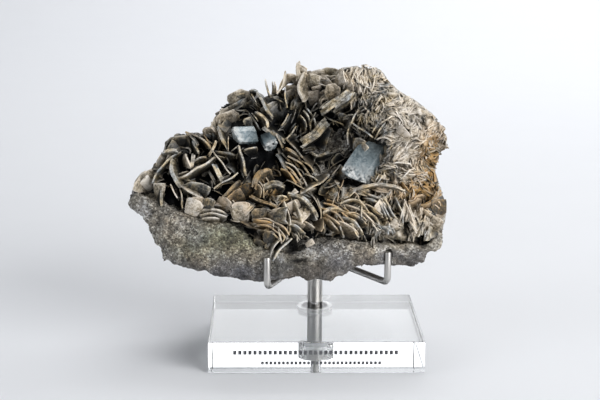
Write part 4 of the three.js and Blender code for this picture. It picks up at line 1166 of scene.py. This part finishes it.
def muscovite_material(colours, name="muscovite_mica", shine=0.5):
    """Muscovite in books: pearly cleavage faces mottled olive and brown, pale frayed edges, iron
    stain in the pockets, and painted shade, near black, where the books run down into each other."""
    material, tree, shader = new_material(name, Roughness=0.42, IOR=1.58, Specular_IOR_Level=shine)
    rim, depth, tone, stain = growth_marks(tree)
    patches = noise_node(tree, 5, 3).outputs["Fac"]
    mottle = noise_node(tree, 1.3, 4, 0.8).outputs["Fac"]
    varied = calculate(tree, "ADD", tone, swing(tree, patches, 0.7))
    varied = calculate(tree, "ADD", varied, swing(tree, mottle, 1.3))
    face = ramp(tree, varied, [
        (0.0, "#101215"), (0.3, "#3a3a38"), (0.55, "#7e7666"), (0.8, "#c0b8a9"),
        (1.0, "#eeebe5")])
    edge = ramp(tree, varied, [(0.0, "#827b6c"), (0.3, "#cdc4b4"), (0.6, "#f0e9dc"), (1.0, "#fdfcfa")])
    worn = calculate(tree, "ADD", swing(tree, patches, 2.4), 0.35)
    worn = calculate(tree, "MULTIPLY", rim, calculate(tree, "ADD", mottle, worn, True), True)
    base = mix_colour(tree, worn, face, edge)
    olive = noise_node(tree, 6, 3).outputs["Fac"]
    hue = ramp(tree, olive, [(0.33, "#cbdaee"), (0.45, "#e8edf5"), (0.54, "#f3f1e8"), (0.64, "#f3e6ca")])
    pale = ranged(tree, tone, 0.4, 0.7, to_high=0.85)
    hue = mix_colour(tree, pale, hue, hex_colour("#f3ece3"))
    base = mix_colour(tree, 1.0, base, hue, "MULTIPLY")
    rust = calculate(tree, "MULTIPLY", stain, calculate(tree, "ADD", mottle, 0.3), True)
    base = mix_colour(tree, rust, base, mix_colour(tree, 1.0, base, opaque(colours.stain), "MULTIPLY"))
    # Painted shade: near black where a point lies deep below the blades' tips.
    dark = calculate(tree, "MULTIPLY", calculate(tree, "POWER", depth, 0.75), 0.98)
    base = mix_colour(tree, dark, base, opaque(colours.root))
    tree.links.new(base, shader.inputs["Base Color"])
    tree.links.new(ranged(tree, mottle, to_low=0.25, to_high=0.6), shader.inputs["Roughness"])
    bump = add_node(tree, "ShaderNodeBump", None, {"Strength": 0.6, "Distance": 0.25 * MM, "Height": mottle})
    tree.links.new(bump.outputs["Normal"], shader.inputs["Normal"])
    return material


def rock_material(colours):
    """Weathered feldspar and quartz rock: dull grains about a millimetre across, grey-brown with
    dark mica specks, pale fresh grains, and a faint green tinge in patches. Painted shade darkens
    its pits and makes its lower band darker and bluer."""
    material, tree, shader = new_material("granular_rock", Roughness=0.85, IOR=1.53)
    rim, depth, tone, stain = growth_marks(tree)
    place = add_node(tree, "ShaderNodeTexCoord").outputs["Object"]
    cells = add_node(tree, "ShaderNodeTexVoronoi", None, {"Vector": place, "Scale": 1 / (0.95 * MM)})
    patches = noise_node(tree, 14, 4).outputs["Fac"]
    fine = noise_node(tree, 0.8, 3).outputs["Fac"]
    split = add_node(tree, "ShaderNodeSeparateColor", None, {"Color": cells.outputs["Color"]})
    grain = calculate(tree, "ADD", calculate(tree, "MULTIPLY", split.outputs["Red"], 0.75),
                      calculate(tree, "MULTIPLY", tone, 0.35))
    body = ramp(tree, grain, [
        (0.05, "#201f1e"), (0.2, "#66625d"), (0.5, "#a19c95"), (0.78, "#cfcac2"),
        (0.9, "#faf8f4")])
    # Painted shade on the rock's lower band: its grains greyer here.
    body = mix_colour(tree, calculate(tree, "MULTIPLY", rim, 0.35), body, hex_colour("#a09c98"))
    warmth = ramp(tree, patches, [(0.35, "#dfe0e6"), (0.5, "#e6e3de"), (0.62, "#e8dfd2")])
    base = mix_colour(tree, 1.0, body, warmth, "MULTIPLY")
    blotch = ranged(tree, noise_node(tree, 5, 3, 0.6).outputs["Fac"], 0.38, 0.62, 0.62, 1.15)
    base = mix_colour(tree, 1.0, base, blotch, "MULTIPLY")
    green = calculate(tree, "MULTIPLY", stain, calculate(tree, "ADD", fine, 0.3), True)
    base = mix_colour(tree, green, base, mix_colour(tree, 1.0, base, hex_colour("#cfd9c3"), "MULTIPLY"))
    base = mix_colour(tree, 1.0, base, opaque(colours.rock), "MULTIPLY")
    # Painted shade of the lower band: darker and bluer.
    base = mix_colour(tree, rim, base, mix_colour(tree, 1.0, base, hex_colour("#c4c6cf"), "MULTIPLY"))
    # Painted shade in the pits: near black by their depth.
    base = mix_colour(tree, calculate(tree, "MULTIPLY", depth, 0.93), base, opaque(colours.root))
    tree.links.new(base, shader.inputs["Base Color"])
    gloss = ranged(tree, split.outputs["Green"], to_low=0.45, to_high=0.95)
    tree.links.new(gloss, shader.inputs["Roughness"])
    relief_height = calculate(tree, "ADD", calculate(tree, "MULTIPLY", cells.outputs["Distance"], -1.0), fine)
    bump = add_node(tree, "ShaderNodeBump", None, {
        "Strength": 1.0, "Distance": 0.6 * MM, "Height": relief_height})
    tree.links.new(bump.outputs["Normal"], shader.inputs["Normal"])
    return material


def beryl_material(colours):
    """Pale aquamarine: milky with fine inner veils, satin crystal faces, darker where it is rooted
    and whiter at its sugary free end."""
    material, tree, shader = new_material(
        "aquamarine_beryl", Roughness=0.2, IOR=1.577, Transmission_Weight=0.3)
    rough, pits, along, dull = growth_marks(tree)
    veils = noise_node(tree, 3.2, 5, 1.6).outputs["Fac"]
    specks = noise_node(tree, 0.9, 3).outputs["Fac"]
    body = ramp(tree, veils, [(0.32, "#5b6b74"), (0.44, "#94a2aa"), (0.55, "#b9c4c9"), (0.66, "#e3e8e9")])
    body = mix_colour(tree, 0.3, body, opaque(colours.beryl))
    rooted = ramp(tree, along, [(0.0, "#5c6664"), (0.35, "#c3cacb"), (0.6, "#ffffff")])
    body = mix_colour(tree, 1.0, body, rooted, "MULTIPLY")
    flecks = ranged(tree, specks, 0.6, 0.75, to_high=0.4)
    body = mix_colour(tree, flecks, body, hex_colour("#dfe5e4"))
    body = mix_colour(tree, dull, body, mix_colour(tree, 1.0, body, hex_colour("#a3aaac"), "MULTIPLY"))
    sugary = ranged(tree, noise_node(tree, 2.4, 3).outputs["Fac"], 0.36, 0.58, to_low=0.1)
    white = calculate(tree, "MULTIPLY", rough, sugary, True)
    base = mix_colour(tree, white, body, hex_colour("#f7f8f6"))
    base = mix_colour(tree, calculate(tree, "MULTIPLY", pits, 1.0, True), base, hex_colour("#3f4a50"))
    tree.links.new(base, shader.inputs["Base Color"])
    gloss = ranged(tree, calculate(tree, "MAXIMUM", rough, dull), to_low=0.2, to_high=0.6)
    tree.links.new(gloss, shader.inputs["Roughness"])
    bump = add_node(tree, "ShaderNodeBump", None, {"Strength": 0.5, "Distance": 0.2 * MM, "Height": specks})
    tree.links.new(bump.outputs["Normal"], shader.inputs["Normal"])
    return material


def steel_material(colours):
    """Drawn and polished stainless steel rod: satin, with fine marks left by the polishing."""
    material, tree, shader = new_material("satin_stainless_steel", Metallic=1.0, Roughness=0.24)
    marks = noise_node(tree, 0.6, 3).outputs["Fac"]
    smears = noise_node(tree, 9, 2).outputs["Fac"]
    base = ramp(tree, smears, [(0.3, "#b9b7b4"), (0.7, "#cfcdca")])
    base = mix_colour(tree, 0.5, base, opaque(colours.steel))
    tree.links.new(base, shader.inputs["Base Color"])
    tree.links.new(ranged(tree, marks, to_low=0.32, to_high=0.48), shader.inputs["Roughness"])
    bump = add_node(tree, "ShaderNodeBump", None, {"Strength": 0.06, "Distance": 0.02 * MM, "Height": marks})
    tree.links.new(bump.outputs["Normal"], shader.inputs["Normal"])
    return material


def plated_material():
    """Bright zinc plating of the screw and its washer: pale and a little dull."""
    material, tree, shader = new_material("bright_zinc_plating", Metallic=1.0, Roughness=0.6)
    bloom = noise_node(tree, 2.5, 3).outputs["Fac"]
    base = ramp(tree, bloom, [(0.3, "#e4e4e3"), (0.7, "#f4f4f2")])
    tree.links.new(base, shader.inputs["Base Color"])
    tree.links.new(ranged(tree, bloom, to_low=0.5, to_high=0.68), shader.inputs["Roughness"])
    return material


def acrylic_material(colours):
    """Cast acrylic, flame polished: clear as water, with the faintest scuffs. The milled
    counterbore is left matt, so the screw in it shows only as a grey shape."""
    material, tree, shader = new_material(
        "cast_acrylic", Roughness=0.0, IOR=1.49, Transmission_Weight=1.0, Base_Color=opaque(colours.acrylic))
    place = add_node(tree, "ShaderNodeTexCoord").outputs["Object"]
    split = add_node(tree, "ShaderNodeSeparateXYZ", None, {"Vector": place})
    low = calculate(tree, "LESS_THAN", split.outputs["Z"], (COUNTERBORE["depth"] + 0.1) * MM)
    inside = calculate(tree, "GREATER_THAN", split.outputs["Z"], 0.1 * MM)
    across = add_node(tree, "ShaderNodeVectorMath", {"operation": "DISTANCE"}, {
        0: place, 1: (POST["x"] * MM, POST["y"] * MM, 0)})
    near = calculate(tree, "LESS_THAN", across.outputs["Value"], 15 * MM)
    matt = calculate(tree, "MULTIPLY", calculate(tree, "MULTIPLY", low, inside), near)
    scuffs = ranged(tree, noise_node(tree, 12, 5, 0.4).outputs["Fac"], 0.5, 0.8, to_high=0.03)
    roof = calculate(tree, "GREATER_THAN", split.outputs["Z"], (COUNTERBORE["depth"] - 0.2) * MM)
    milled = calculate(tree, "SUBTRACT", 0.85, calculate(tree, "MULTIPLY", roof, 0.4))
    rough = calculate(tree, "ADD", calculate(tree, "MULTIPLY", matt, milled), scuffs)
    tree.links.new(rough, shader.inputs["Roughness"])
    return material


def ink_material():
    """Grey screen-printing ink, matt and slightly uneven."""
    material, tree, shader = new_material("screen_ink", Roughness=0.7)
    wear = noise_node(tree, 0.5, 2).outputs["Fac"]
    base = ramp(tree, wear, [(0.35, "#55565c"), (0.7, "#75767c")])
    tree.links.new(base, shader.inputs["Base Color"])
    return material


# ---- sizes and colours that a user may change ----

def colour_property(name, description, text):
    return FloatVectorProperty(name=name, description=description, subtype="COLOR", size=3,
                               min=0, max=1, default=hex_colour(text)[:3])


class SpecimenSizes(PropertyGroup):
    """How finely the specimen is made and how it is lit."""

    filler_blades: IntProperty(
        name="Filler blades", description="Short blades that fill the gaps between the main ones",
        default=760, min=0, max=1200)
    bank_flakes: IntProperty(
        name="Bank flakes", description="Small curled flakes on the pale bank at the right",
        default=1900, min=0, max=4000)
    rock_grains: IntProperty(
        name="Rock grains", description="Loose grains half sunk in the surface of the matrix",
        default=9000, min=0, max=20000)
    smallest_grain: FloatProperty(
        name="Smallest grain", description="Size of the smallest grains", default=0.45 * MM,
        min=0.1 * MM, max=3 * MM, subtype="DISTANCE", unit="LENGTH")
    largest_grain: FloatProperty(
        name="Largest grain", description="Size of the largest grains", default=1.5 * MM,
        min=0.2 * MM, max=5 * MM, subtype="DISTANCE", unit="LENGTH")
    floor_width: FloatProperty(
        name="Floor width", description="Width of the paper sweep under and behind the stand", default=7,
        min=1, max=20, subtype="DISTANCE", unit="LENGTH")
    key_power: FloatProperty(
        name="Key light", description="Power of the softbox at the front right", default=22,
        min=0, max=200, subtype="POWER", unit="POWER")
    top_power: FloatProperty(
        name="Top light", description="Power of the softbox overhead", default=6,
        min=0, max=200, subtype="POWER", unit="POWER")
    fill_power: FloatProperty(
        name="Fill light", description="Power of the softbox on the left", default=3.5,
        min=0, max=200, subtype="POWER", unit="POWER")
    backdrop_power: FloatProperty(
        name="Backdrop light", description="Power of the softbox that lights the sweep far behind",
        default=44, min=0, max=500, subtype="POWER", unit="POWER")
    back_power: FloatProperty(
        name="Back light", description="Power of the long softbox high behind, mirrored in the block's top",
        default=9, min=0, max=200, subtype="POWER", unit="POWER")
    air_strength: FloatProperty(
        name="Studio air", description="Brightness of the light from all round", default=0.14, min=0, max=5)


class SpecimenColours(PropertyGroup):
    """Main colour of each finish."""

    # Painted shade: the near-black colour mixed into the mica deep between the blades and into the rock's
    # pits.
    root: colour_property("Muscovite roots", "Deep between the blades, where little light reaches", "#0b0c0e")
    stain: colour_property("Iron stain", "Rusty film that tints the mica", "#cfa558")
    rock: colour_property("Matrix", "Overall tint of the rock", "#e9e9e6")
    beryl: colour_property("Aquamarine", "Body colour of the beryl", "#9db4be")
    steel: colour_property("Steel", "Stainless steel of the post and the arms", "#c5c3c0")
    acrylic: colour_property("Acrylic", "Tint of the clear block", "#feffff")
    paper: colour_property("Paper", "Sweep under and behind the stand", "#e4e6ea")


# ---- operators ----

class SPECIMEN_OT_block(Operator):
    """Make the clear block, bored for its screw, and the plain marks on its front"""

    bl_idname = "specimen.block"
    bl_label = "Acrylic block"

    def execute(self, context):
        colours = context.scene.specimen_colours
        width, depth, height = BLOCK_SIZE
        solid = bmesh.new()
        stretch = Matrix.Diagonal((width * MM, depth * MM, height * MM, 1))
        bmesh.ops.create_cube(solid, size=1, matrix=Matrix.Translation((0, 0, height / 2 * MM)) @ stretch)
        bmesh.ops.bevel(solid, geom=solid.edges[:], offset=BLOCK_BEVEL * MM, segments=3, profile=0.5,
                        affect="EDGES")
        mesh = bpy.data.meshes.new("acrylic_block_clear")
        solid.to_mesh(mesh)
        solid.free()
        hole = SCREW["shank"] + GAP
        wall, roof = COUNTERBORE["radius"], COUNTERBORE["depth"]
        points, quads, triangles = lathe([(0, -1), (wall, -1), (wall, roof), (hole, roof), (hole, height + 1),
                                          (0, height + 1)], POST["x"], POST["y"], POST_SIDES)
        bore = bpy.data.meshes.new("bore_work")
        bore.from_pydata((points * MM).tolist(), [], quads.tolist() + triangles.tolist())
        cutter = bpy.data.objects.new("bore_work", bore)
        blank = bpy.data.objects.new("block_work", mesh)
        for item in (cutter, blank):
            context.scene.collection.objects.link(item)
        cut = blank.modifiers.new("bore", "BOOLEAN")
        cut.operation, cut.object, cut.solver = "DIFFERENCE", cutter, "EXACT"
        made = bpy.data.meshes.new_from_object(blank.evaluated_get(context.evaluated_depsgraph_get()))
        for item in (cutter, blank):
            bpy.data.objects.remove(item)
        for left in (bore, mesh):
            bpy.data.meshes.remove(left)
        made.name = "acrylic_block_clear"
        finished_piece("acrylic_block_clear", made, acrylic_material(colours),
                       ("acrylic_block",), sharp=12)
        self.marks()
        return {"FINISHED"}

    def marks(self):
        """Two rows of even dashes where a label would be, printed on the front face."""
        pile = Pile()
        for start, height, count, step, length, tall in MARK_ROWS:
            for k in range(count):
                low = np.array([start + k * step, MARK_FRONT, height - tall / 2])
                high = np.array([start + k * step + length, MARK_BACK, height + tall / 2])
                corners = np.where(BOX_CORNERS, high, low)
                pile.add(corners, BOX_FACES, NO_TRIANGLES, np.zeros((len(corners), 4)))
        pile.piece("label_marks", "clear_acrylic", ink_material())


class SPECIMEN_OT_stand(Operator):
    """Make the steel post, its screw and washer, and the three arms"""

    bl_idname = "specimen.stand"
    bl_label = "Steel stand"

    def execute(self, context):
        steel, plated = steel_material(context.scene.specimen_colours), plated_material()
        hole, foot = SCREW["shank"] + GAP, BLOCK_SIZE[2]
        radius, top, chamfer = POST["radius"], POST["top"], POST["chamfer"]
        depth = foot + SCREW["reach"] + GAP
        profile = [(hole, foot), (radius - POST_EDGE, foot), (radius, foot + POST_EDGE),
                   (radius, top - chamfer), (radius - chamfer, top), (0, top), (0, depth), (hole, depth)]
        turned_piece("post_turned", softened(profile, 4, chamfer * 0.4), POST_SIDES, steel, ("post",))
        under = COUNTERBORE["depth"] - WASHER["thickness"]
        low, head = under - SCREW["head_height"], SCREW["head"]
        socket, floor = SCREW["socket"], under - SCREW["head_height"] + SCREW["socket_depth"]
        end = foot + SCREW["reach"]
        profile = [(0, floor), (socket, floor), (socket, low), (head - SCREW_EDGE, low),
                   (head, low + SCREW_EDGE), (head, under), (SCREW["shank"], under), (SCREW["shank"], end),
                   (0, end)]
        turned_piece("base_screw_turned", profile, SCREW_SIDES, plated, ("base_screw",))
        hole, rim, high = WASHER["hole"], WASHER["radius"], COUNTERBORE["depth"]
        profile = [(hole, under), (rim - WASHER_EDGE, under), (rim, under + WASHER_EDGE),
                   (rim, high - WASHER_EDGE), (rim - WASHER_EDGE, high), (hole, high)]
        turned_piece("base_washer_pressed", profile, SCREW_SIDES, plated, ("base_washer",))
        for side, end in ARM_ENDS.items():
            points, quads, first, last = rod(arm_line(*end), ARM["radius"], ARM_SIDES)
            pile = Pile()
            pile.add(points, quads, np.concatenate([first, last]), np.zeros((points.size // 3, 4)))
            pile.piece(f"arm_{side}_bent", "polished_steel", steel, (f"arm_{side}",), sharp=60)
        return {"FINISHED"}


class SPECIMEN_OT_rock(Operator):
    """Make the matrix rock and the grains in its surface"""

    bl_idname = "specimen.rock"
    bl_label = "Matrix rock"

    def execute(self, context):
        sizes = context.scene.specimen_sizes
        random = np.random.RandomState(ROCK_SEED)
        material = rock_material(context.scene.specimen_colours)
        points, quads, normals, sunk = rock_surface()
        across, up, out = display(points)
        tone = 0.5 + 0.35 * lattice_noise(points, 3, 41) + 0.6 * bumps(FRESH_PLACES, across, up)
        tone = np.clip(tone, 0, 1)
        tinge = np.clip(bumps(GREEN_PLACES, across, up), 0, 1) * (out > -15)
        # Painted shade: the share of the rock's lower band that the material makes darker and bluer.
        under = np.clip((4 * lattice_noise(points, 9, 42) + 3 * lattice_noise(points, 3.5, 43) - 34
                         + 6 * np.clip(across / 20, 0, 1) - up) / 9, 0, 1)
        marks = np.stack([under, sunk, tone, tinge], -1)
        body = Pile()
        body.add(points, quads, NO_TRIANGLES, marks)
        body.piece("matrix_rock_body", "rock", material, ("matrix_rock",), sharp=70)
        at = random.randint(0, len(points), sizes.rock_grains * 2)
        at = at[stand_distance(points[at]) > GRAIN_CLEARANCE][:sizes.rock_grains]
        grains = Pile()
        add_grains(grains, points[at], normals[at], under[at], sunk[at], tinge[at], random,
                   sizes.smallest_grain / MM, sizes.largest_grain / MM)
        grains.piece("matrix_rock_grains", "rock", material, sharp=20)
        return {"FINISHED"}


class SPECIMEN_OT_muscovite(Operator):
    """Grow the muscovite: its foot, its main blades, the blades between them and the fine flakes"""

    bl_idname = "specimen.muscovite"
    bl_label = "Muscovite blades"

    def execute(self, context):
        sizes = context.scene.specimen_sizes
        material = muscovite_material(context.scene.specimen_colours, "muscovite_mica", 0.3)
        random = np.random.RandomState(MICA_SEED)
        points, faces, marks = crust_foot()
        foot = Pile()
        foot.add(points, faces, NO_TRIANGLES, marks)
        # The foot's material shines little; its marks give it painted shade between the blades.
        dull = muscovite_material(context.scene.specimen_colours, "muscovite_roots", 0.05)
        foot.piece("muscovite_foot", "muscovite", dull, ("muscovite_crust",), sharp=60)
        blades = Pile()
        for row in BLADES:
            *place, thickness = row
            if thickness > BOOK_THICKNESS:
                laminae = 3
            elif thickness < SINGLE_THICKNESS:
                laminae = 1
            else:
                laminae = random.randint(1, 3)
            grow_blade(blades, (*place, thickness * BLADE_THINNING), random, "large", laminae)
        # Face-on plates made pale as painted glints.
        for *row, paleness in PAINTED_GLINT_PLATES:
            grow_blade(blades, row, random, "small", 1, paleness)
        blades.piece("muscovite_blades", "muscovite", material, sharp=35)
        between = Pile()
        for row in filler_rows(random, sizes.filler_blades) + fringe_rows(random):
            grow_blade(between, row, random, "small", 1, -0.06)
        for row in arch_rows(random):
            grow_blade(between, row, random, "large", 1, 0.02)
        between.piece("muscovite_between", "muscovite", material, sharp=35)
        flakes = Pile()
        for row in flake_rows(random):
            grow_blade(flakes, row, random, "tiny", 1, -0.02)
        for row in bank_rows(random, sizes.bank_flakes):
            grow_blade(flakes, row, random, "tiny", 1, random.uniform(-0.22, 0.2))
        flakes.piece("muscovite_flakes", "muscovite", material, sharp=35)
        return {"FINISHED"}


class SPECIMEN_OT_aquamarine(Operator):
    """Grow the aquamarine prisms"""

    bl_idname = "specimen.aquamarine"
    bl_label = "Aquamarine prisms"

    def execute(self, context):
        material = beryl_material(context.scene.specimen_colours)
        for name, shape in CRYSTALS.items():
            prism = Pile()
            add_prism(prism, shape, DULLNESS[name])
            prism.piece(f"{name}_prism", "aquamarine", material, (name,), sharp=30)
        return {"FINISHED"}


def softbox(name, place, target, size, power, colour):
    """A square softbox aimed at a place; sizes in metres."""
    light = bpy.data.lights.new(name, "AREA")
    light.shape, light.size, light.size_y = "RECTANGLE", size[0], size[1]
    light.energy, light.color = power, colour
    holder = bpy.data.objects.new(name, light)
    holder.location = place
    holder.rotation_euler = (Vector(target) - Vector(place)).to_track_quat("-Z", "Y").to_euler()
    holder.visible_camera = False
    bpy.context.scene.collection.objects.link(holder)


class SPECIMEN_OT_stage(Operator):
    """Make the paper sweep, the softboxes, the surrounding light and the camera"""

    bl_idname = "specimen.stage"
    bl_label = "Stage, light and camera"

    def execute(self, context):
        scene = context.scene
        sizes, colours = scene.specimen_sizes, scene.specimen_colours
        self.sweep(sizes, colours)
        middle = (-0.01, 0, 0.09)
        softbox("key_softbox", (1.0, -1.0, 0.66), middle, (1.1, 0.9), sizes.key_power, (1, 0.995, 0.985))
        softbox("top_softbox", (0.2, 0.2, 1.35), middle, (0.9, 0.9), sizes.top_power, (1, 0.995, 0.985))
        softbox("left_softbox", (-1.2, -0.5, 0.5), middle, (0.5, 0.9), sizes.fill_power, (0.94, 0.97, 1))
        softbox("backdrop_softbox", (1.0, 0.9, 1.9), (0.95, 2.3, 0.9), (2.4, 0.8), sizes.backdrop_power,
                (1, 1, 1))
        softbox("back_softbox", (0.1, 2.45, 1.0), middle, (3.2, 1.0), sizes.back_power, (1, 1, 1))
        world = bpy.data.worlds.new("studio_air")
        world.use_nodes = True
        scene.world = world
        air = world.node_tree.nodes["Background"]
        air.inputs["Color"].default_value = hex_colour("#f3f6fa")
        air.inputs["Strength"].default_value = sizes.air_strength
        lens = bpy.data.cameras.new("camera")
        lens.lens, lens.sensor_width = LENS, 36
        lens.clip_start, lens.clip_end = 0.01, 50
        camera = bpy.data.objects.new("camera", lens)
        rows = np.stack([RIGHT, UP, -AHEAD], -1)
        camera.matrix_world = Matrix.Translation(VIEW_POINT * MM) @ Matrix(rows.tolist()).to_4x4()
        scene.collection.objects.link(camera)
        scene.camera = camera
        scene.view_settings.view_transform = "Standard"
        return {"FINISHED"}

    def sweep(self, sizes, colours):
        """Paper that lies under the stand and curves up far behind it."""
        near, far, bend, top = -3.0, 1.7, 0.9, 3.5
        turn = np.linspace(0, math.pi / 2, 17)
        curve = [(far + bend * math.sin(t), bend * (1 - math.cos(t))) for t in turn]
        line = [(near, 0.0)] + curve + [(far + bend, top)]
        across = np.linspace(-sizes.floor_width / 2, sizes.floor_width / 2, 9)
        points = [(x, y, z - SWEEP_GAP * MM) for y, z in line for x in across]
        count = len(across)
        faces = [(r * count + c, r * count + c + 1, (r + 1) * count + c + 1, (r + 1) * count + c)
                 for r in range(len(line) - 1) for c in range(count - 1)]
        mesh = bpy.data.meshes.new("paper_sweep")
        mesh.from_pydata(points, [], faces)
        mesh.shade_smooth()
        material, tree, shader = new_material("seamless_paper", Roughness=0.9, IOR=1.4)
        fibres = noise_node(tree, 60, 3).outputs["Fac"]
        base = mix_colour(tree, fibres, opaque(colours.paper), opaque(c * PAPER_SHADE for c in colours.paper))
        tree.links.new(base, shader.inputs["Base Color"])
        mesh.materials.append(material)
        sweep = bpy.data.objects.new("paper_sweep", mesh)
        bpy.context.scene.collection.objects.link(sweep)


class SPECIMEN_PT_panel(Panel):
    """Lists the pieces of the specimen and what may be changed about them"""

    bl_idname = "SPECIMEN_PT_panel"
    bl_label = "Aquamarine specimen"
    bl_space_type = "VIEW_3D"
    bl_region_type = "UI"
    bl_category = "Specimen"

    def draw(self, context):
        for operator in OPERATORS:
            self.layout.operator(operator.bl_idname)
        for group in (context.scene.specimen_sizes, context.scene.specimen_colours):
            column = self.layout.column()
            for key in group.bl_rna.properties.keys():
                if key not in ("rna_type", "name"):
                    column.prop(group, key)


OPERATORS = (SPECIMEN_OT_stage, SPECIMEN_OT_block, SPECIMEN_OT_stand, SPECIMEN_OT_rock,
             SPECIMEN_OT_muscovite, SPECIMEN_OT_aquamarine)
CLASSES = (SpecimenSizes, SpecimenColours) + OPERATORS + (SPECIMEN_PT_panel,)


def register():
    for item in CLASSES:
        bpy.utils.register_class(item)
    bpy.types.Scene.specimen_sizes = PointerProperty(type=SpecimenSizes)
    bpy.types.Scene.specimen_colours = PointerProperty(type=SpecimenColours)


def unregister():
    del bpy.types.Scene.specimen_colours
    del bpy.types.Scene.specimen_sizes
    for item in reversed(CLASSES):
        bpy.utils.unregister_class(item)


def main():
    register()
    bpy.ops.specimen.stage()
    bpy.ops.specimen.block()
    bpy.ops.specimen.stand()
    bpy.ops.specimen.rock()
    bpy.ops.specimen.muscovite()
    bpy.ops.specimen.aquamarine()


if __name__ == "__main__":
    main()
